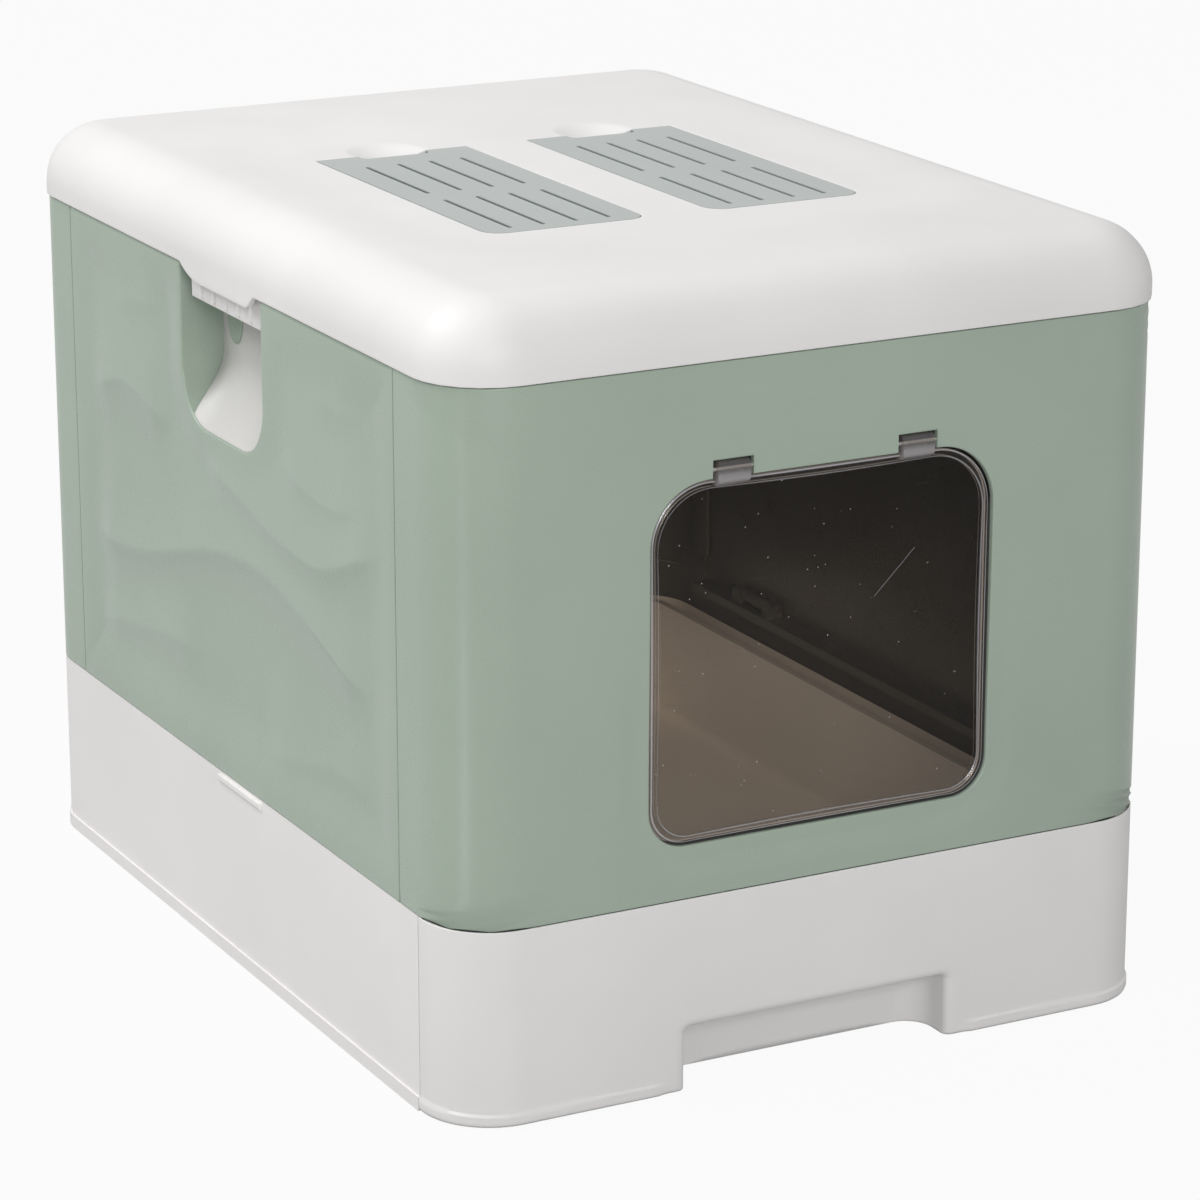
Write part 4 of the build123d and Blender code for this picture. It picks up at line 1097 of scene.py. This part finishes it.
def drawer_face():
    """Drawer front in wall coordinates (a, z): rays run from the pull recess to the panel's edge. The recess
    goes on inwards from its rounded lip, round a fillet and across its back, down to the open foot."""
    low, high = FASCIA_FOOT, FASCIA_HEAD
    end = FLAT + BEND + FASCIA_RETURN
    depth, panel = PULL_HEIGHT - low, (end, high - low, (30, 34, 70))
    inner, outer = notch_rays(PULL_HALF, depth, PULL_ROUND, *panel)
    face = across(inner, outer, 46)
    a, z = face[..., 0], low + face[..., 1]
    lip = np.linalg.norm(face - inner[:, None], axis=-1)
    rim = rim_gap(a, z, end, low, high)
    flange = (1 - fade(z, FLANGE - FLANGE_STEP, FLANGE)) * fade(np.abs(a), *FLANGE_START)
    out = FLANGE_PROUD * flange - edge_drop(rim, EDGE) - edge_drop(lip, PULL_LIP)
    sunk, _ = notch_rays(PULL_HALF - PULL_SIDE, depth - PULL_HEAD, PULL_INNER, *panel)
    beside = fade(inner[:, 1], depth, depth - PULL_ROUND)[:, None]
    fillet = PULL_HEAD + (PULL_SIDE - PULL_HEAD) * beside
    turn = np.linspace(0, np.pi / 2, 10)
    deep = PULL_DEPTH - fillet * (1 - np.sin(turn))
    straight = PULL_LIP + (deep[:, :1] - PULL_LIP) * np.linspace(0, 1, 6)[1:-1]
    shift = np.concatenate([0 * straight, 1 - np.cos(turn) + 0 * deep], 1)
    side = inner[:, None] + (sunk - inner)[:, None] * shift[..., None]
    share = np.linspace(0, 1, len(inner))
    first, last = side[0, -1, 0], side[-1, -1, 0]
    foot = np.stack([first + (last - first) * share, 0 * share], -1)
    rest = side[:, -1:] + (foot[:, None] - side[:, -1:]) * np.linspace(0, 1, 9)[1:, None]
    pocket = np.concatenate([side, rest], 1)
    back = np.concatenate([straight, deep, np.full((len(inner), 8), PULL_DEPTH)], 1)
    rise = np.array([0.0, low])
    recess = wrap(pocket + rise, -back)[:, ::-1]
    return Mould().grid(np.concatenate([recess, wrap(face + rise, out)], 1))


def drawer_webs():
    """The webs that join the drawer front to the tray: upright bars along y."""
    mould = Mould()
    near, far = -HALF_DEPTH + WALL - 1.0, TRAY_LOW[1] + 1.5
    for at, foot in WEBS:
        mould.bar((at - WEB_HALF, near, foot), (at + WEB_HALF, far, WEB_HEAD), 0.5)
    return mould


def pad(low, high):
    """Filter pad: a crowned cushion z = m +- h sqrt((1 - |u|^8)(1 - |v|^8)), with three sewn channels across
    it and slightly drawn-in sides."""
    middle, half = (low + high) / 2, (high - low) / 2
    ease = np.sin(np.linspace(-np.pi / 2, np.pi / 2, 61))
    u, v = np.meshgrid(ease, ease, indexing="ij")
    body = half[2] * np.sqrt(np.maximum(1 - np.abs(u) ** 8, 0) * np.maximum(1 - np.abs(v) ** 8, 0))
    channel = 1 - 0.35 * sum(np.exp(-((v - at) / 0.035) ** 2) for at in (-0.5, 0.0, 0.5))
    crown = body * channel * (0.86 + 0.14 * (1 - u ** 2) * (1 - v ** 2))
    x = middle[0] + half[0] * u * (1 - 0.012 * (1 - v ** 2))
    y = middle[1] + half[1] * v * (1 - 0.008 * (1 - u ** 2))
    return Mould().grid(stack(x, y, middle[2] + crown)).grid(stack(x, y, middle[2] - body))


dress(BASE, "base_shell")
dress(WHITE, "litter_tray", "left_filter_holder", "right_filter_holder")
dress(VENT, "left_vent_cover", "right_vent_cover")
dress(STEEL, "left_wall_pins", "right_wall_pins", "door_hinge_pins")

left_wall = side_wall()
left_scoop = scoop()
put("left_wall_moulding", left_wall, GREEN, "left_wall", "left_side_panel")
put("right_wall_moulding", left_wall.mirrored(), GREEN, "right_wall", "right_side_panel")
put("left_scoop", left_scoop, SCOOP_PAINTED_SHADE, "left_wall", "left_handle_cup")
put("right_scoop", left_scoop.mirrored(), SCOOP_PAINTED_SHADE, "right_wall", "right_handle_cup")
put("front_wall_moulding", front_wall(), GREEN, "base", "front_panel")
put("rear_wall_moulding", rear_wall(), GREEN, "base", "rear_panel")
put("lid_moulding", lid(), WHITE, "lid", "lid_shell")
put("flap_moulding", flap(), SMOKE, "door", "door_flap")
drawer = put("drawer_face", drawer_face(), WHITE, "drawer", "drawer_front")
# The drawer front is an open sheet that gets its wall inwards
sheet = drawer.modifiers.new("wall", "SOLIDIFY")
sheet.thickness = FASCIA_WALL * MM
sheet.offset = -1.0
put("drawer_webs", drawer_webs(), WHITE, "drawer", "drawer_front")
for side in ("left", "right"):
    node = side + "_filter_pad"
    felt = put(side + "_felt_pad", pad(*node_box(node)), FELT, "lid", node)


def floor():
    """A plain pale floor: a flat grid that goes white for the camera and keeps a trace of the shadow."""
    reach = np.linspace(-20.0, 20.0, 11) / MM
    x, y = np.meshgrid(reach, reach, indexing="ij")
    mesh = Mould().grid(stack(x, y, 0 * x)).mesh("floor")
    finish = new_finish("floor_white")
    seen = finish.looked_at()
    dull = finish.node("ShaderNodeBsdfDiffuse", None, {"Color": grey(0.46)})
    light = finish.node("ShaderNodeEmission", None, {"Color": grey(1.0), "Strength": 1.0})
    both = finish.node("ShaderNodeMixShader", None, {0: seen * 0.94, 1: dull, 2: light})
    mesh.materials.append(finish.shown(both))
    show("floor", mesh)


def surround():
    """An even pale surround: white where it is looked at, weaker where it lights."""
    world = bpy.data.worlds.new("surround")
    bpy.context.scene.world = world
    sky = Finish(world)
    strength = 0.45 + sky.looked_at() * 0.55
    light = sky.node("ShaderNodeBackground", None, {"Color": grey(1.0), "Strength": strength})
    sky.node("ShaderNodeOutputWorld", None, {"Surface": light})


def facing(place, aim):
    """The turn of a lamp or camera that looks from a place towards a point."""
    return (Vector(aim) - Vector(place)).to_track_quat("-Z", "Y").to_euler()


def softbox(name, place, turn, width, height, power):
    """An area lamp that the camera doesn't see."""
    lamp = bpy.data.lights.new(name, "AREA")
    lamp.shape = "RECTANGLE"
    lamp.size, lamp.size_y = width, height
    lamp.energy = power
    thing = show(name, lamp)
    thing.location = place
    thing.rotation_euler = turn
    thing.visible_camera = False


# Lamps by place and aim in metres, width, height and power: the studio's three, and a weak one in the box.
# A strip lies on the floor and shines up at the front left corner.
LAMPS = [
    ("top_light", (-0.2, 0.2, 2.4), (0, 0, 0.3), 2.2, 2.2, 4),
    ("left_light", (-1.6, 0.9, 2.2), (0, 0, 0.25), 1.4, 1.4, 38),
    ("key_light", (-0.8, -2.5, 1.0), (0, 0, 0.15), 0.9, 1.0, 23),
    ("tray_fill", (0.03, 0.03, 0.15), (0.03, 0.03, 0.0), 0.24, 0.34, 0.056),
]
STRIP_PLACE = (-1.25, -0.81, 0.004)
UPWARDS = (math.pi, 0.0, math.radians(-152))

# Camera at the photo's angle
CAMERA_PLACE = (-1.0115, -1.9603, 0.8335)
CAMERA_AIM = (0.0150, -0.0031, 0.1614)

floor()
surround()
for name, place, aim, width, height, power in LAMPS:
    softbox(name, place, facing(place, aim), width, height, power)
softbox("corner_strip", STRIP_PLACE, UPWARDS, 1.9, 0.05, 1.1)

lens = bpy.data.cameras.new("camera")
lens.lens = 134.53
lens.sensor_width = 36.0
camera = show("camera", lens)
camera.location = CAMERA_PLACE
camera.rotation_euler = facing(CAMERA_PLACE, CAMERA_AIM)
bpy.context.scene.camera = camera
bpy.context.scene.view_settings.view_transform = "Standard"

bpy.context.view_layer.update()
